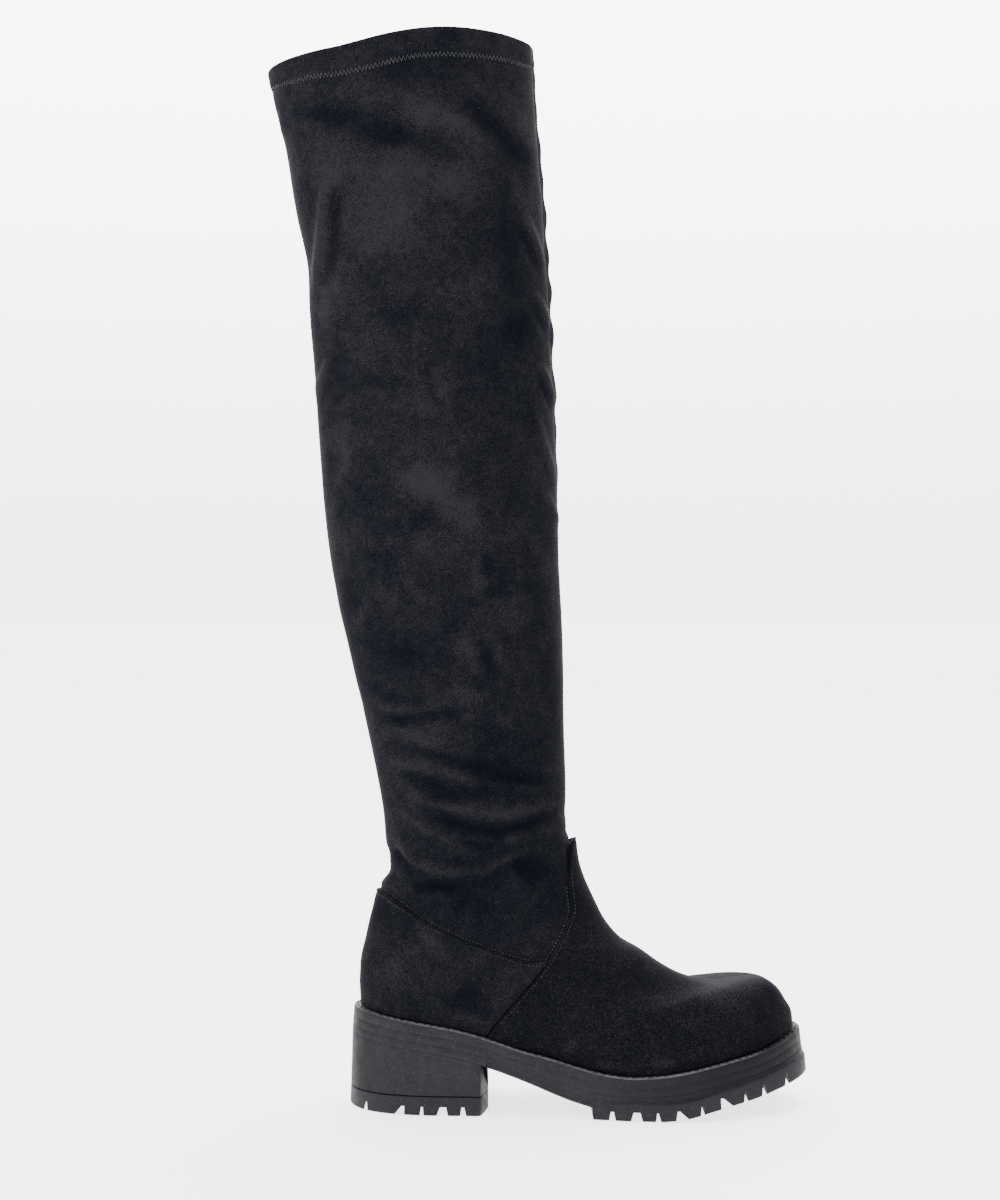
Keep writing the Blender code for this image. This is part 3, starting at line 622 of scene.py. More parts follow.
@dataclass(frozen=True)
class NapAndPaintedLight:
    """Tone of the suede: the chart above, which is partly brushed nap and partly painted light and shade,
    with a painted highlight on ridges and painted shade in troughs.
    """

    chart: Table = NAP_PATCHES_AND_PAINTED_LIGHT
    ragged: float = 5.0
    ragged_size: float = 0.018
    inner_shift: Pair = (11.0, -17.0)
    oval_edge: float = 1.3
    # Painted highlight on the folds' ridges and painted shade in their troughs: the relief at which it is
    # full, its strength and its limits
    fold_height: float = 0.0013
    fold_shading: float = 0.50
    fold_shading_limits: Pair = (-1.6, 1.3)

    def tone(self, points: Array, normals: Array, move: Array) -> Array:
        """Lightness of each place, about -1 to 1.

        Args:
            points: Places on the smooth form.
            normals: Directions outwards.
            move: How far the relief moves each place.

        Returns:
            One value for each place.
        """
        flat = points[:, [0, 2]] / MM
        flat = flat + self.ragged * np.stack([cloud(points, self.ragged_size, 11),
                                              cloud(points, self.ragged_size, 12)], axis=1)
        flat = flat + np.where(normals[:, 1:2] > 0, np.array([self.inner_shift]), 0.0)
        total = np.zeros(len(points))
        columns = [self.chart[name] for name in ("x", "z", "long", "wide", "turn", "tone")]
        for x, z, long, wide, turn, tone in zip(*columns):
            swing = math.radians(turn)
            away = flat - np.array([x, z])
            u = away[:, 0] * math.cos(swing) + away[:, 1] * math.sin(swing)
            v = away[:, 1] * math.cos(swing) - away[:, 0] * math.sin(swing)
            total += tone * np.exp(-((u / long) ** 2 + (v / wide) ** 2) ** self.oval_edge)
        # Painted highlight on ridges and painted shade in troughs, by how far the relief moves each place
        return total + self.fold_shading * np.clip(move / self.fold_height, *self.fold_shading_limits)


SUEDE_TONE_WITH_PAINTED_LIGHT = NapAndPaintedLight()


def dressed(level: Array, around: Array, offset: Array | float) -> tuple[Array, Array]:
    """The folded surface, at an offset outside it.

    Args:
        level: Rows of the sections, of any shape.
        around: How far round, of the same shape.
        offset: Metres outwards.

    Returns:
        Points, with X, Y and Z in the last axis, and the tone at each: the nap's, with painted light and
        shade.
    """
    level, around = np.broadcast_arrays(np.asarray(level, float), np.asarray(around, float))
    points, normal, pace = FORM.frame_at(level, around)
    flat, out = points.reshape(-1, 3), normal.reshape(-1, 3)
    place = level.ravel(), np.mod(around, 2.0).ravel()
    height = RELIEF.height(*place, flat, out, pace.ravel())
    # Tone: nap patches with painted light and shade, painted shade in fold troughs, painted highlight on
    # ridges and on the seam's edge
    tone = (SUEDE_TONE_WITH_PAINTED_LIGHT.tone(flat, out, height) + RELIEF.seam_highlight(*place, pace.ravel())).reshape(level.shape)
    move = height.reshape(level.shape) + offset
    return points + normal * move[..., None], tone


class Shapes:
    """Meshes made from arrays of points."""

    @staticmethod
    def piece(name: str, verts: Array, faces: Sequence[Sequence[int]]) -> Piece:
        """An object with smooth faces that all point outwards.

        Args:
            name: The object's name.
            verts: Its points, one row each.
            faces: The points of each face, by number.

        Returns:
            The object, linked to the scene.
        """
        mesh = bpy.data.meshes.new(name)
        mesh.from_pydata(np.asarray(verts, dtype=float).tolist(), [], [tuple(f) for f in faces])
        work = bmesh.new()
        work.from_mesh(mesh)
        bmesh.ops.recalc_face_normals(work, faces=work.faces)
        work.to_mesh(mesh)
        work.free()
        mesh.shade_smooth()
        made = bpy.data.objects.new(name, mesh)
        bpy.context.scene.collection.objects.link(made)
        return made

    @staticmethod
    def note(piece: Piece, name: str, values: Array) -> None:
        """Keep one number for each point, which the finish reads by its name."""
        attribute = piece.data.attributes.new(name, "FLOAT", "POINT")
        attribute.data.foreach_set("value", np.asarray(values, dtype=np.float32).ravel())

    @staticmethod
    def grid_faces(rows: int, columns: int, close_rows: bool, close_columns: bool,
                   first: int = 0) -> list[tuple[int, int, int, int]]:
        """Quads of a grid of points, closed around either way.

        Args:
            rows: Rows of the grid.
            columns: Points in a row.
            close_rows: Whether the last row meets the first.
            close_columns: Whether each row meets its own start.
            first: Number of the grid's first point.

        Returns:
            The faces.
        """
        faces = []
        for r in range(rows if close_rows else rows - 1):
            s = (r + 1) % rows
            for c in range(columns if close_columns else columns - 1):
                d = (c + 1) % columns
                faces.append((first + r * columns + c, first + r * columns + d,
                              first + s * columns + d, first + s * columns + c))
        return faces

    @classmethod
    def tube(cls, name: str, grid: Array) -> Piece:
        """A closed skin whose grid of points wraps both ways."""
        rows, columns = grid.shape[:2]
        return cls.piece(name, grid.reshape(-1, 3), cls.grid_faces(rows, columns, True, True))

    @classmethod
    def slab(cls, name: str, face: Array, back: Array) -> Piece:
        """A panel between two grids of points of one size, closed round its edge.

        Args:
            name: The object's name.
            face: Grid of the outer face.
            back: Grid of the inner face.

        Returns:
            The object.
        """
        rows, columns = face.shape[:2]
        count = rows * columns
        faces = cls.grid_faces(rows, columns, False, False)
        faces += [tuple(reversed(f)) for f in cls.grid_faces(rows, columns, False, False, count)]
        edge = list(range(columns))
        edge += [r * columns + columns - 1 for r in range(1, rows)]
        edge += [(rows - 1) * columns + c for c in reversed(range(columns - 1))]
        edge += [r * columns for r in reversed(range(1, rows - 1))]
        for a, b in zip(edge, edge[1:] + edge[:1]):
            faces.append((a, a + count, b + count, b))
        verts = np.vstack([face.reshape(-1, 3), back.reshape(-1, 3)])
        return cls.piece(name, verts, faces)

    @classmethod
    def bars(cls, name: str, bars: Sequence[Array]) -> Piece:
        """Closed bars, each through its own sections.

        Args:
            name: The object's name.
            bars: For each bar its sections, all of as many points.

        Returns:
            One object with all of the bars.
        """
        faces: list[Sequence[int]] = []
        first = 0
        for sections in bars:
            rows, columns = sections.shape[:2]
            last = first + (rows - 1) * columns
            faces += cls.grid_faces(rows, columns, False, True, first)
            faces += [range(end, end + columns) for end in (first, last)]
            first = last + columns
        return cls.piece(name, np.vstack([sections.reshape(-1, 3) for sections in bars]), faces)


@dataclass(frozen=True)
class Thread:
    """Stitches of one thread, each a small round-ended bar on the surface."""

    radius: float = 0.00024
    length: float = 0.0016
    pitch: float = 0.0026
    sides: int = 6
    # Sections of a stitch: share of its length, and share of its radius
    sections: ClassVar[Pairs] = ((0.06, 0.62), (0.22, 1.0), (0.78, 1.0), (0.94, 0.62))
    arch: ClassVar[float] = 0.6
    # Height of a row above its panel, in radii
    seat: ClassVar[float] = 0.2

    def bar(self, start: Array, end: Array, normal: Array) -> tuple[Array, list[Loop]]:
        """Points and faces of one stitch between two points.

        Args:
            start: One end.
            end: The other end.
            normal: Direction away from the cloth.

        Returns:
            Points, and faces that count from the first of them.
        """
        run = end - start
        length = np.linalg.norm(run)
        run = run / length
        over = np.cross(run, normal)
        over = over / np.linalg.norm(over)
        out = np.cross(over, run)
        verts = [start]
        for share, size in self.sections:
            rise = out * self.radius * self.arch * math.sin(math.pi * share)
            middle = start + run * length * share + rise
            for k in range(self.sides):
                turn = 2 * math.pi * k / self.sides
                verts.append(middle + self.radius * size * (over * math.cos(turn) + out * math.sin(turn)))
        verts.append(end)
        faces: list[Loop] = []
        last = len(verts) - 1
        for k in range(self.sides):
            d = (k + 1) % self.sides
            faces.append([0, 1 + d, 1 + k])
            faces.append([last, last - self.sides + k, last - self.sides + d])
            for ring in range(len(self.sections) - 1):
                a = 1 + ring * self.sides
                faces.append([a + k, a + d, a + self.sides + d, a + self.sides + k])
        return np.array(verts), faces

    def row(self, points: Array, normals: Array) -> list[tuple[Array, Array, Array]]:
        """Ends and normals of stitches laid along a line at the thread's pitch.

        Args:
            points: Points of the line.
            normals: Directions away from the cloth there.

        Returns:
            Start, end and normal of each stitch.
        """
        run = np.r_[0, np.cumsum(np.linalg.norm(np.diff(points, axis=0), axis=1))]
        count = int(run[-1] / self.pitch)
        stitches = []
        for k in range(count):
            middle = (k + 0.5) * self.pitch
            ends = [np.array([np.interp(middle + s * self.length / 2, run, points[:, a])
                              for a in range(3)]) for s in (-1, 1)]
            normal = np.array([np.interp(middle, run, normals[:, a]) for a in range(3)])
            stitches.append((ends[0], ends[1], normal / np.linalg.norm(normal)))
        return stitches

    def sew(self, name: str, stitches: Sequence[tuple[Array, Array, Array]]) -> Piece:
        """One object with all of the stitches given.

        Args:
            name: The object's name.
            stitches: Start, end and normal of each stitch.

        Returns:
            The object.
        """
        verts: list[Array] = []
        faces: list[Loop] = []
        total = 0
        for start, end, normal in stitches:
            points, quads = self.bar(start, end, normal)
            verts.append(points)
            faces += [[total + i for i in quad] for quad in quads]
            total += len(points)
        return Shapes.piece(name, np.vstack(verts), faces)


class Nodes:
    """Builds a material's node tree in a few short calls."""

    def __init__(self, name: str) -> None:
        """Start a material with its Principled shader.

        Args:
            name: The material's name.
        """
        self.material = bpy.data.materials.new(name)
        self.material.use_nodes = True
        self.tree = self.material.node_tree
        self.shader = self.tree.nodes["Principled BSDF"]
        self.place = self.add("ShaderNodeTexCoord").outputs["Object"]

    def add(self, kind: str, **settings: object) -> bpy.types.Node:
        """A node with its properties and unlinked inputs set.

        Args:
            kind: The node's type.
            settings: Properties and inputs, with _ for a space.

        Returns:
            The node.
        """
        node = self.tree.nodes.new(kind)
        for key, value in settings.items():
            if hasattr(node, key):
                setattr(node, key, value)
            else:
                node.inputs[key.replace("_", " ")].default_value = value
        return node

    def link(self, source: Socket, target: Socket) -> None:
        """Join two sockets."""
        self.tree.links.new(source, target)

    def stretch(self, scale: Place) -> Socket:
        """Object coordinates, scaled.

        Args:
            scale: Factors along X, Y and Z.

        Returns:
            The coordinates' socket.
        """
        node = self.add("ShaderNodeMapping")
        node.inputs["Scale"].default_value = scale
        self.link(self.place, node.inputs["Vector"])
        return node.outputs["Vector"]

    def noise(self, scale: float, detail: float, rough: float = 0.5, warp: float = 0.0,
              place: Socket | None = None) -> Socket:
        """Noise over the object, in lumps for each metre.

        Args:
            scale: Lumps for each metre.
            detail: How many finer noises are added.
            rough: How strong the finer ones are.
            warp: How far the lumps are pulled about.
            place: Coordinates to use in place of the object's.

        Returns:
            The value's socket.
        """
        node = self.add("ShaderNodeTexNoise", Scale=scale, Detail=detail, Roughness=rough,
                        Distortion=warp)
        self.link(place or self.place, node.inputs["Vector"])
        return node.outputs["Fac"]

    def remap(self, value: Socket, low: float, high: float, to_low: float = 0.0,
              to_high: float = 1.0) -> Socket:
        """A value's range moved to another, and held there.

        Args:
            value: The value's socket.
            low: Where the range starts.
            high: Where it ends.
            to_low: Result at its start.
            to_high: Result at its end.

        Returns:
            The result's socket.
        """
        node = self.add("ShaderNodeMapRange", interpolation_type="SMOOTHSTEP", From_Min=low,
                        From_Max=high, To_Min=to_low, To_Max=to_high)
        self.link(value, node.inputs["Value"])
        return node.outputs["Result"]

    def blend(self, factor: Socket, one: object, two: object) -> Socket:
        """Two colours mixed by a factor; each is a colour or a socket.

        Args:
            factor: 0 for the first, 1 for the second.
            one: The first colour.
            two: The second colour.

        Returns:
            The mixed colour's socket.
        """
        node = self.add("ShaderNodeMix", data_type="RGBA")
        self.link(factor, node.inputs["Factor"])
        for socket, value in zip((node.inputs[i] for i in MIX_COLOURS), (one, two)):
            if isinstance(value, Socket):
                self.link(value, socket)
            else:
                socket.default_value = (*value, 1.0)
        return node.outputs[MIX_RESULT]

    def noted(self, name: str) -> Socket:
        """The number that a piece's points keep under a name."""
        return self.add("ShaderNodeAttribute", attribute_name=name).outputs["Fac"]

    def math(self, kind: str, one: Socket, two: Socket) -> Socket:
        """Two values put together.

        Args:
            kind: The operation.
            one: The first value.
            two: The second value.

        Returns:
            The result's socket.
        """
        node = self.add("ShaderNodeMath", operation=kind)
        self.link(one, node.inputs[0])
        self.link(two, node.inputs[1])
        return node.outputs["Value"]

    def sum(self, one: Socket, two: Socket) -> Socket:
        """One value added to another."""
        return self.math("ADD", one, two)

    def product(self, one: Socket, two: Socket) -> Socket:
        """One value times another."""
        return self.math("MULTIPLY", one, two)

    def bump(self, value: Socket, distance: float, strength: float = 1.0,
             under: Socket | None = None) -> Socket:
        """A bump of a height in metres, laid over another.

        Args:
            value: The height's socket.
            distance: Height in metres where the value is 1.
            strength: Share of it that shows.
            under: Bump that it lies on.

        Returns:
            The normal's socket.
        """
        node = self.add("ShaderNodeBump", Strength=strength, Distance=distance)
        self.link(value, node.inputs["Height"])
        if under:
            self.link(under, node.inputs["Normal"])
        return node.outputs["Normal"]

    def settle(self, **values: object) -> None:
        """Set the shader's own sockets."""
        for key, value in values.items():
            self.shader.inputs[key.replace("_", " ")].default_value = value


@dataclass(frozen=True)
class Suede:
    """Short nap that lies this way and that, paler where it is brushed up, with painted light and shade from
    the tone kept on its points.
    """

    name: str
    deep: Colour = (0.0014, 0.0020, 0.0036)
    middle: Colour = (0.0046, 0.0050, 0.0069)
    warm: Colour = (0.0130, 0.0119, 0.0138)
    fleck: Colour = (0.036, 0.034, 0.038)
    lining: Colour = (0.014, 0.014, 0.015)
    sheen: float = 0.055
    patch: float = 34.0
    blotch: float = 0.24

    # Lumps for each metre of the brushed streaks, the fibres and the tufts, and what they do
    streaks: ClassVar[float] = 150.0
    fibres: ClassVar[float] = 1350.0
    tufts: ClassVar[float] = 240.0
    flecks: ClassVar[float] = 1300.0
    speck: ClassVar[float] = 0.60
    fibre_height: ClassVar[float] = 0.00014
    tuft_height: ClassVar[float] = 0.00022

    def build(self) -> bpy.types.Material:
        """The nap's colour, sheen and bump as a material.

        Returns:
            The material.
        """
        n = Nodes(self.name)
        # Tone kept on the points: brushed nap with painted highlights and painted shade
        nap_and_painted_light = n.noted("nap_and_painted_light")
        broad = n.remap(n.noise(self.patch, 3.0, 0.55, 0.5), 0.28, 0.72, -self.blotch, self.blotch)
        brushed = n.remap(n.noise(self.streaks, 4.0, 0.62, 0.8), 0.28, 0.72, -self.blotch, self.blotch)
        fibre = n.noise(self.fibres, 1.0, 0.7, 0.0, n.stretch((0.8, 0.8, 1.15)))
        speck = n.remap(fibre, 0.30, 0.70, -self.speck, self.speck)
        tone = n.sum(n.sum(nap_and_painted_light, broad), n.sum(brushed, speck))
        body = n.blend(n.remap(tone, -0.90, 0.15), self.deep, self.middle)
        body = n.blend(n.remap(tone, -0.10, 1.10), body, self.warm)
        spark = n.remap(n.noise(self.flecks, 1.0), 0.735, 0.80)
        body = n.blend(spark, body, self.fleck)
        inside = n.noted("inside")
        n.link(n.blend(inside, body, self.lining), n.shader.inputs["Base Color"])
        n.link(n.remap(tone, -0.6, 0.8, 0.98, 0.86), n.shader.inputs["Roughness"])
        tuft = n.bump(n.noise(self.tufts, 4.0, 0.6, 0.6), self.tuft_height, 0.8)
        n.link(n.bump(fibre, self.fibre_height, 1.0, tuft), n.shader.inputs["Normal"])
        n.settle(Sheen_Weight=self.sheen, Sheen_Roughness=0.28, Sheen_Tint=(0.80, 0.68, 0.74, 1.0),
                 Specular_IOR_Level=0.03)
        return n.material


@dataclass(frozen=True)
class Rubber:
    """Moulded satin rubber with a fine grain and faint lines along its side."""

    name: str
    colour: Colour = (0.0080, 0.0083, 0.0098)
    pale: Colour = (0.0160, 0.0163, 0.0187)
    painted_shade_colour: Colour = (0.0034, 0.0038, 0.0050)
    # Painted highlight along the welt's top edge, where light falls on its top face
    edge: Colour = (0.085, 0.085, 0.092)
    dust: Colour = (0.045, 0.045, 0.049)
    lines: float = 0.0
    roughness: float = 0.52

    # Lumps for each metre of the cloudy tone, the dust, the gloss and the grain
    clouds: ClassVar[float] = 140.0
    specks: ClassVar[float] = 1100.0
    sheens: ClassVar[float] = 160.0
    grains: ClassVar[float] = 900.0
    grain_height: ClassVar[float] = 0.00016
    # Stations between which painted shade darkens the side, toward the toe and round the heel's back
    painted_shade_ahead: ClassVar[Pair] = (0.45, 0.90)
    painted_shade_back: ClassVar[Pair] = (0.055, -0.030)
    # Depth below the feather line over which the painted highlight along the rim's top edge dies out
    highlight_depth: ClassVar[Pair] = (0.0009, 0.0001)

    def build(self) -> bpy.types.Material:
        """The rubber's colour, satin and grain as a material.

        Returns:
            The material.
        """
        n = Nodes(self.name)
        mottle = n.remap(n.noise(self.clouds, 5.0, 0.7, 0.2), 0.25, 0.75, 0.15, 0.75)
        speck = n.remap(n.noise(self.specks, 2.0, 0.7), 0.56, 0.74, 0.0, 0.6)
        body = n.blend(speck, n.blend(mottle, self.colour, self.pale), self.dust)
        sheen = n.noise(self.sheens, 3.0, 0.6)
        gloss = n.remap(sheen, 0.30, 0.72, self.roughness - 0.06, self.roughness + 0.10)
        n.link(gloss, n.shader.inputs["Roughness"])
        normal = n.bump(n.noise(self.grains, 3.0, 0.65), self.grain_height, 0.9)
        if self.lines:
            depth, ahead = n.noted("depth"), n.noted("ahead")
            layers = n.add("ShaderNodeTexNoise", noise_dimensions="1D", Scale=900.0, Detail=3.0)
            n.link(depth, layers.inputs["W"])
            fade = n.product(layers.outputs["Fac"], n.remap(n.noise(28.0, 2.0), 0.35, 0.65, 0.15, 1.0))
            normal = n.bump(fade, self.lines, 0.8, normal)
            body = n.blend(n.remap(fade, 0.34, 0.62, 0.0, 0.65), body, self.pale)
            # Painted shade: the side darker toward the toe and round the heel's back
            body = n.blend(n.remap(ahead, *self.painted_shade_ahead, 0.0, 0.92), body, self.painted_shade_colour)
            body = n.blend(n.remap(ahead, *self.painted_shade_back, 0.0, 0.90), body, self.painted_shade_colour)
            # Painted highlight along the rim's top edge, broken up by noise
            highlight_breakup = n.remap(n.noise(420.0, 2.0), 0.3, 0.6, 0.4, 1.0)
            body = n.blend(n.product(n.remap(depth, *self.highlight_depth), highlight_breakup), body, self.edge)
        n.link(body, n.shader.inputs["Base Color"])
        n.link(normal, n.shader.inputs["Normal"])
        n.settle(Specular_IOR_Level=0.075)
        return n.material


@dataclass(frozen=True)
class Twist:
    """Sewing thread with a slight sheen."""

    name: str
    colour: Colour
    pale: Colour

    def build(self) -> bpy.types.Material:
        """The thread's colour and twist as a material.

        Returns:
            The material.
        """
        n = Nodes(self.name)
        body = n.blend(n.remap(n.noise(420.0, 2.0), 0.35, 0.65), self.colour, self.pale)
        n.link(body, n.shader.inputs["Base Color"])
        n.link(n.bump(n.noise(4200.0, 1.0), 0.00004), n.shader.inputs["Normal"])
        n.settle(Roughness=0.7, Sheen_Weight=0.05, Specular_IOR_Level=0.1)
        return n.material


@dataclass(frozen=True)
class Paper:
    """Pale floor, lit from under so that shadows on it stay soft."""

    name: str = "studio_paper"
    colour: Colour = (0.46, 0.46, 0.46)
    glow: float = 2.6

    def build(self) -> bpy.types.Material:
        """The floor's near white and its glow as a material.

        Returns:
            The material.
        """
        n = Nodes(self.name)
        n.settle(Base_Color=(*self.colour, 1.0), Roughness=0.9, Specular_IOR_Level=0.1,
                 Emission_Color=WHITE, Emission_Strength=self.glow)
        return n.material


def settle_piece(piece: Piece, finish: bpy.types.Material,
                 nodes: Sequence[str] = ()) -> None:
    """Give a piece its finish, its body and the nodes that it stands for.

    Args:
        piece: The object.
        finish: Its material.
        nodes: The model's nodes that it replaces.
    """
    piece.data.materials.append(finish)
    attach(piece, "root")
    if nodes:
        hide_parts(*nodes)
    LOG.info("%s: %d faces", piece.name, len(piece.data.polygons))


@dataclass
class StretchUpper:
    """Foot and shaft in one dense hollow skin, with a folded hem at the collar."""

    columns: int = 144
    wall: float = 0.0018
    hem_wall: float = 0.0026
    hem_rise: float = 0.0006
    hem_fade: float = 0.002
    rim_steps: int = 4
    stitch_half: float = 0.0017
    zig_pitch: float = 0.0024
    zig_half: float = 0.0013
    zig_samples: int = 721
    hem_dip: float = 0.0007
    # How the hem's rise wavers: by how much, and two paces round the collar
    hem_waver: tuple[float, float, float] = (0.35, 31.0, 12.3)
    # How the stitches' height varies, likewise
    zig_waver: tuple[float, float, float] = (0.25, 2.3, 0.71)
    # Rows at which the skin gets finer, and its steps from the sole, from there and on the shaft
    finer_rows: tuple[int, int] = (8, 17)
    row_steps: tuple[float, float, float] = (0.5, 0.2, 1 / 15)

    # Depth of the folded hem, by the share of the way from the back to the front
    hem_depth: Table = field(default_factory=lambda: Table("turn depth", [
        (0.0, 0.0105), (0.12, 0.012), (0.45, 0.016), (0.8, 0.015), (1.0, 0.012),
    ]))

    def levels(self) -> Array:
        """Rows of the skin: coarse under the panels, fine on the shaft.

        Returns:
            The rows, rising.
        """
        bounds = (0, *self.finer_rows, TOP_ROW)
        parts = [np.arange(*span) for span in zip(bounds, bounds[1:], self.row_steps)]
        return np.r_[(*parts, TOP_ROW)]

    def above_stitches(self, level: Array, around: Array) -> Array:
        """Distance above the hem's stitches, in metres; below them it is negative.

        Args:
            level: Rows of the sections.
            around: How far round the places lie.

        Returns:
            The distances.
        """
        around = np.mod(around, 2.0)
        top, below = FORM.surface(TOP_ROW, around), FORM.surface(TOP_ROW - 1, around)
        height = np.linalg.norm(top - below, axis=-1)
        turn = np.where(around > 1, 2 - around, around)
        depth = smooth(self.hem_depth["turn"], self.hem_depth["depth"], turn)
        return (level - TOP_ROW) * height + depth

    def stitch_row(self, around: Array) -> Array:
        """Row of the sections at which the hem's stitches lie."""
        one, two = self.above_stitches(TOP_ROW, around), self.above_stitches(TOP_ROW - 1, around)
        return TOP_ROW - one / (one - two)

    def hem(self, level: Array, around: Array) -> Array:
        """How the folded hem stands out above its stitches, and dips under them.

        Args:
            level: Rows of the sections.
            around: How far round the places lie.

        Returns:
            Metres outwards.
        """
        above = self.above_stitches(level, around)
        size, fast, slow = self.hem_waver
        wave = 1 + size * np.sin(around * fast) * np.sin(around * slow + 1.0)
        rise = self.hem_rise * ease(above / self.hem_fade) * wave
        return rise - self.hem_dip * bell(above, self.stitch_half)

    def build(self) -> Piece:
        """The skin: outer face, rolled rim and inner face in one closed grid.

        Returns:
            The object, with the tone of the nap and its painted light and shade, and the lining, kept on its
            points.
        """
        levels = self.levels()
        around = np.linspace(0, 2, self.columns, endpoint=False)
        level, turn = np.meshgrid(levels, around, indexing="ij")
        face, tone = dressed(level, turn, self.hem(level, turn))
        hem_share = ease(self.above_stitches(level, turn) / MM)
        back, _ = dressed(level, turn, -self.wall - (self.hem_wall - self.wall) * hem_share)
        up = face[-1] - face[-2]
        up = up / np.linalg.norm(up, axis=1, keepdims=True)
        rim = []
        for k in range(1, self.rim_steps):
            swing = math.pi * k / self.rim_steps
            middle = face[-1] * (1 + math.cos(swing)) / 2 + back[-1] * (1 - math.cos(swing)) / 2
            rim.append(middle + up * (self.hem_wall / 2) * math.sin(swing))
        grid = np.concatenate([face, np.array(rim), back[::-1]])
        piece = Shapes.tube("upper_skin", grid)
        rim_tone = np.tile(tone[-1], (self.rim_steps - 1, 1))
        Shapes.note(piece, "nap_and_painted_light", np.concatenate([tone, rim_tone, 0 * tone]))
        rim_inside = np.repeat(np.linspace(0, 1, self.rim_steps - 1), self.columns).reshape(-1, self.columns)
        Shapes.note(piece, "inside", np.concatenate([0 * tone, rim_inside, 1 + 0 * tone]))
        return piece

    def zigzag(self, thread: Thread) -> Piece:
        """The zigzag stitch that holds the hem down.

        Args:
            thread: The thread that sews it.

        Returns:
            The object.
        """
        round_trip = np.linspace(0, 2, self.zig_samples)
        line, _ = dressed(self.stitch_row(round_trip), round_trip, 0.0)
        run = np.r_[0, np.cumsum(np.linalg.norm(np.diff(line, axis=0), axis=1))]
        count = int(run[-1] / self.zig_pitch) * 2
        turns = np.arange(count + 1)
        places = np.interp(turns * run[-1] / count, run, round_trip)
        row = self.stitch_row(places)
        high = self.zig_half / (self.above_stitches(TOP_ROW, places) / (TOP_ROW - row))
        size, fast, slow = self.zig_waver
        uneven = 1 + size * np.sin(turns * fast) * np.sin(turns * slow)
        level = row + high * uneven * np.where(turns % 2 == 0, -1.0, 1.0)
        points, _ = dressed(level, places, self.hem(level, places) + thread.radius * 0.5)
        normals = FORM.frame_at(level, places)[1]
        bars = [(points[i], points[i + 1], normals[i]) for i in range(count)]
        return thread.sew("hem_zigzag", bars)


@dataclass
class Seams:
    """Where the panels' edges run on the boot's surface."""

    samples: int = 600
    halvings: int = 40
    tip_search: float = 2.0
    counter_from: int = 3
    meeting_guess: float = 9.0
    meeting_rounds: int = 12

    @staticmethod
    def lifts(level: Array | float, turn: Array | float, inner: bool) -> tuple[Array, Array]:
        """Points of one side, and their heights above the feather line."""
        points = FORM.surface(level, 2 - turn if inner else turn)
        return points, (points[:, 2] - FORM.clear - FORM.feather(points[:, 0])) / FORM.instep_lift

    def vamp_turn(self, level: float, inner: bool) -> float:
        """Turn at which a ring meets the vamp's seam on one side.

        Args:
            level: Row of the ring.
            inner: Whether it is the inner side.

        Returns:
            0 at the back, 1 at the front.
        """
        turn = np.linspace(0, 1, self.samples)
        points, lift = self.lifts(level, turn, inner)
        seam = FORM.along(smooth(VAMP_SEAM["lift"], VAMP_SEAM["station"], lift))
        ahead = points[:, 0] - seam
        behind = np.nonzero(ahead < 0)[0]
        if len(behind) == 0:
            return 0.0
        i = behind[-1]
        if i == self.samples - 1:
            return 1.0
        return float(turn[i] + (turn[i + 1] - turn[i]) * ahead[i] / (ahead[i] - ahead[i + 1]))

    def tip_level(self) -> float:
        """Row at which the vamp's two edges meet at its point.

        Returns:
            The row, in parts of a row.
        """
        low, high = ANKLE_ROW - self.tip_search, ANKLE_ROW + self.tip_search
        for _ in range(self.halvings):
            middle = (low + high) / 2
            if self.vamp_turn(middle, False) < 1.0:
                low = middle
            else:
                high = middle
        return low

    def counter_level(self, turn: float, inner: bool) -> float:
        """Row at which a column meets the counter's seam.

        Args:
            turn: 0 at the back, 1 at the front.
            inner: Whether it is the inner side.

        Returns:
            The row, in parts of a row.
        """
        levels = np.linspace(self.counter_from, ANKLE_ROW, self.samples)
        points, lift = self.lifts(levels, turn, inner)
        seam = smooth(COUNTER_SEAM["station"], COUNTER_SEAM["lift"], FORM.station(points[:, 0]))
        below = np.nonzero(lift < seam)[0]
        return float(levels[below[-1]]) if len(below) else float(levels[0])

    def meeting(self, inner: bool) -> Pair:
        """Row and turn at which the two seams meet on one side.

        Args:
            inner: Whether it is the inner side.

        Returns:
            The row and the turn.
        """
        level = self.meeting_guess
        for _ in range(self.meeting_rounds):
            turn = self.vamp_turn(level, inner)
            level = self.counter_level(turn, inner)
        return level, self.vamp_turn(level, inner)


SEAMS = Seams()


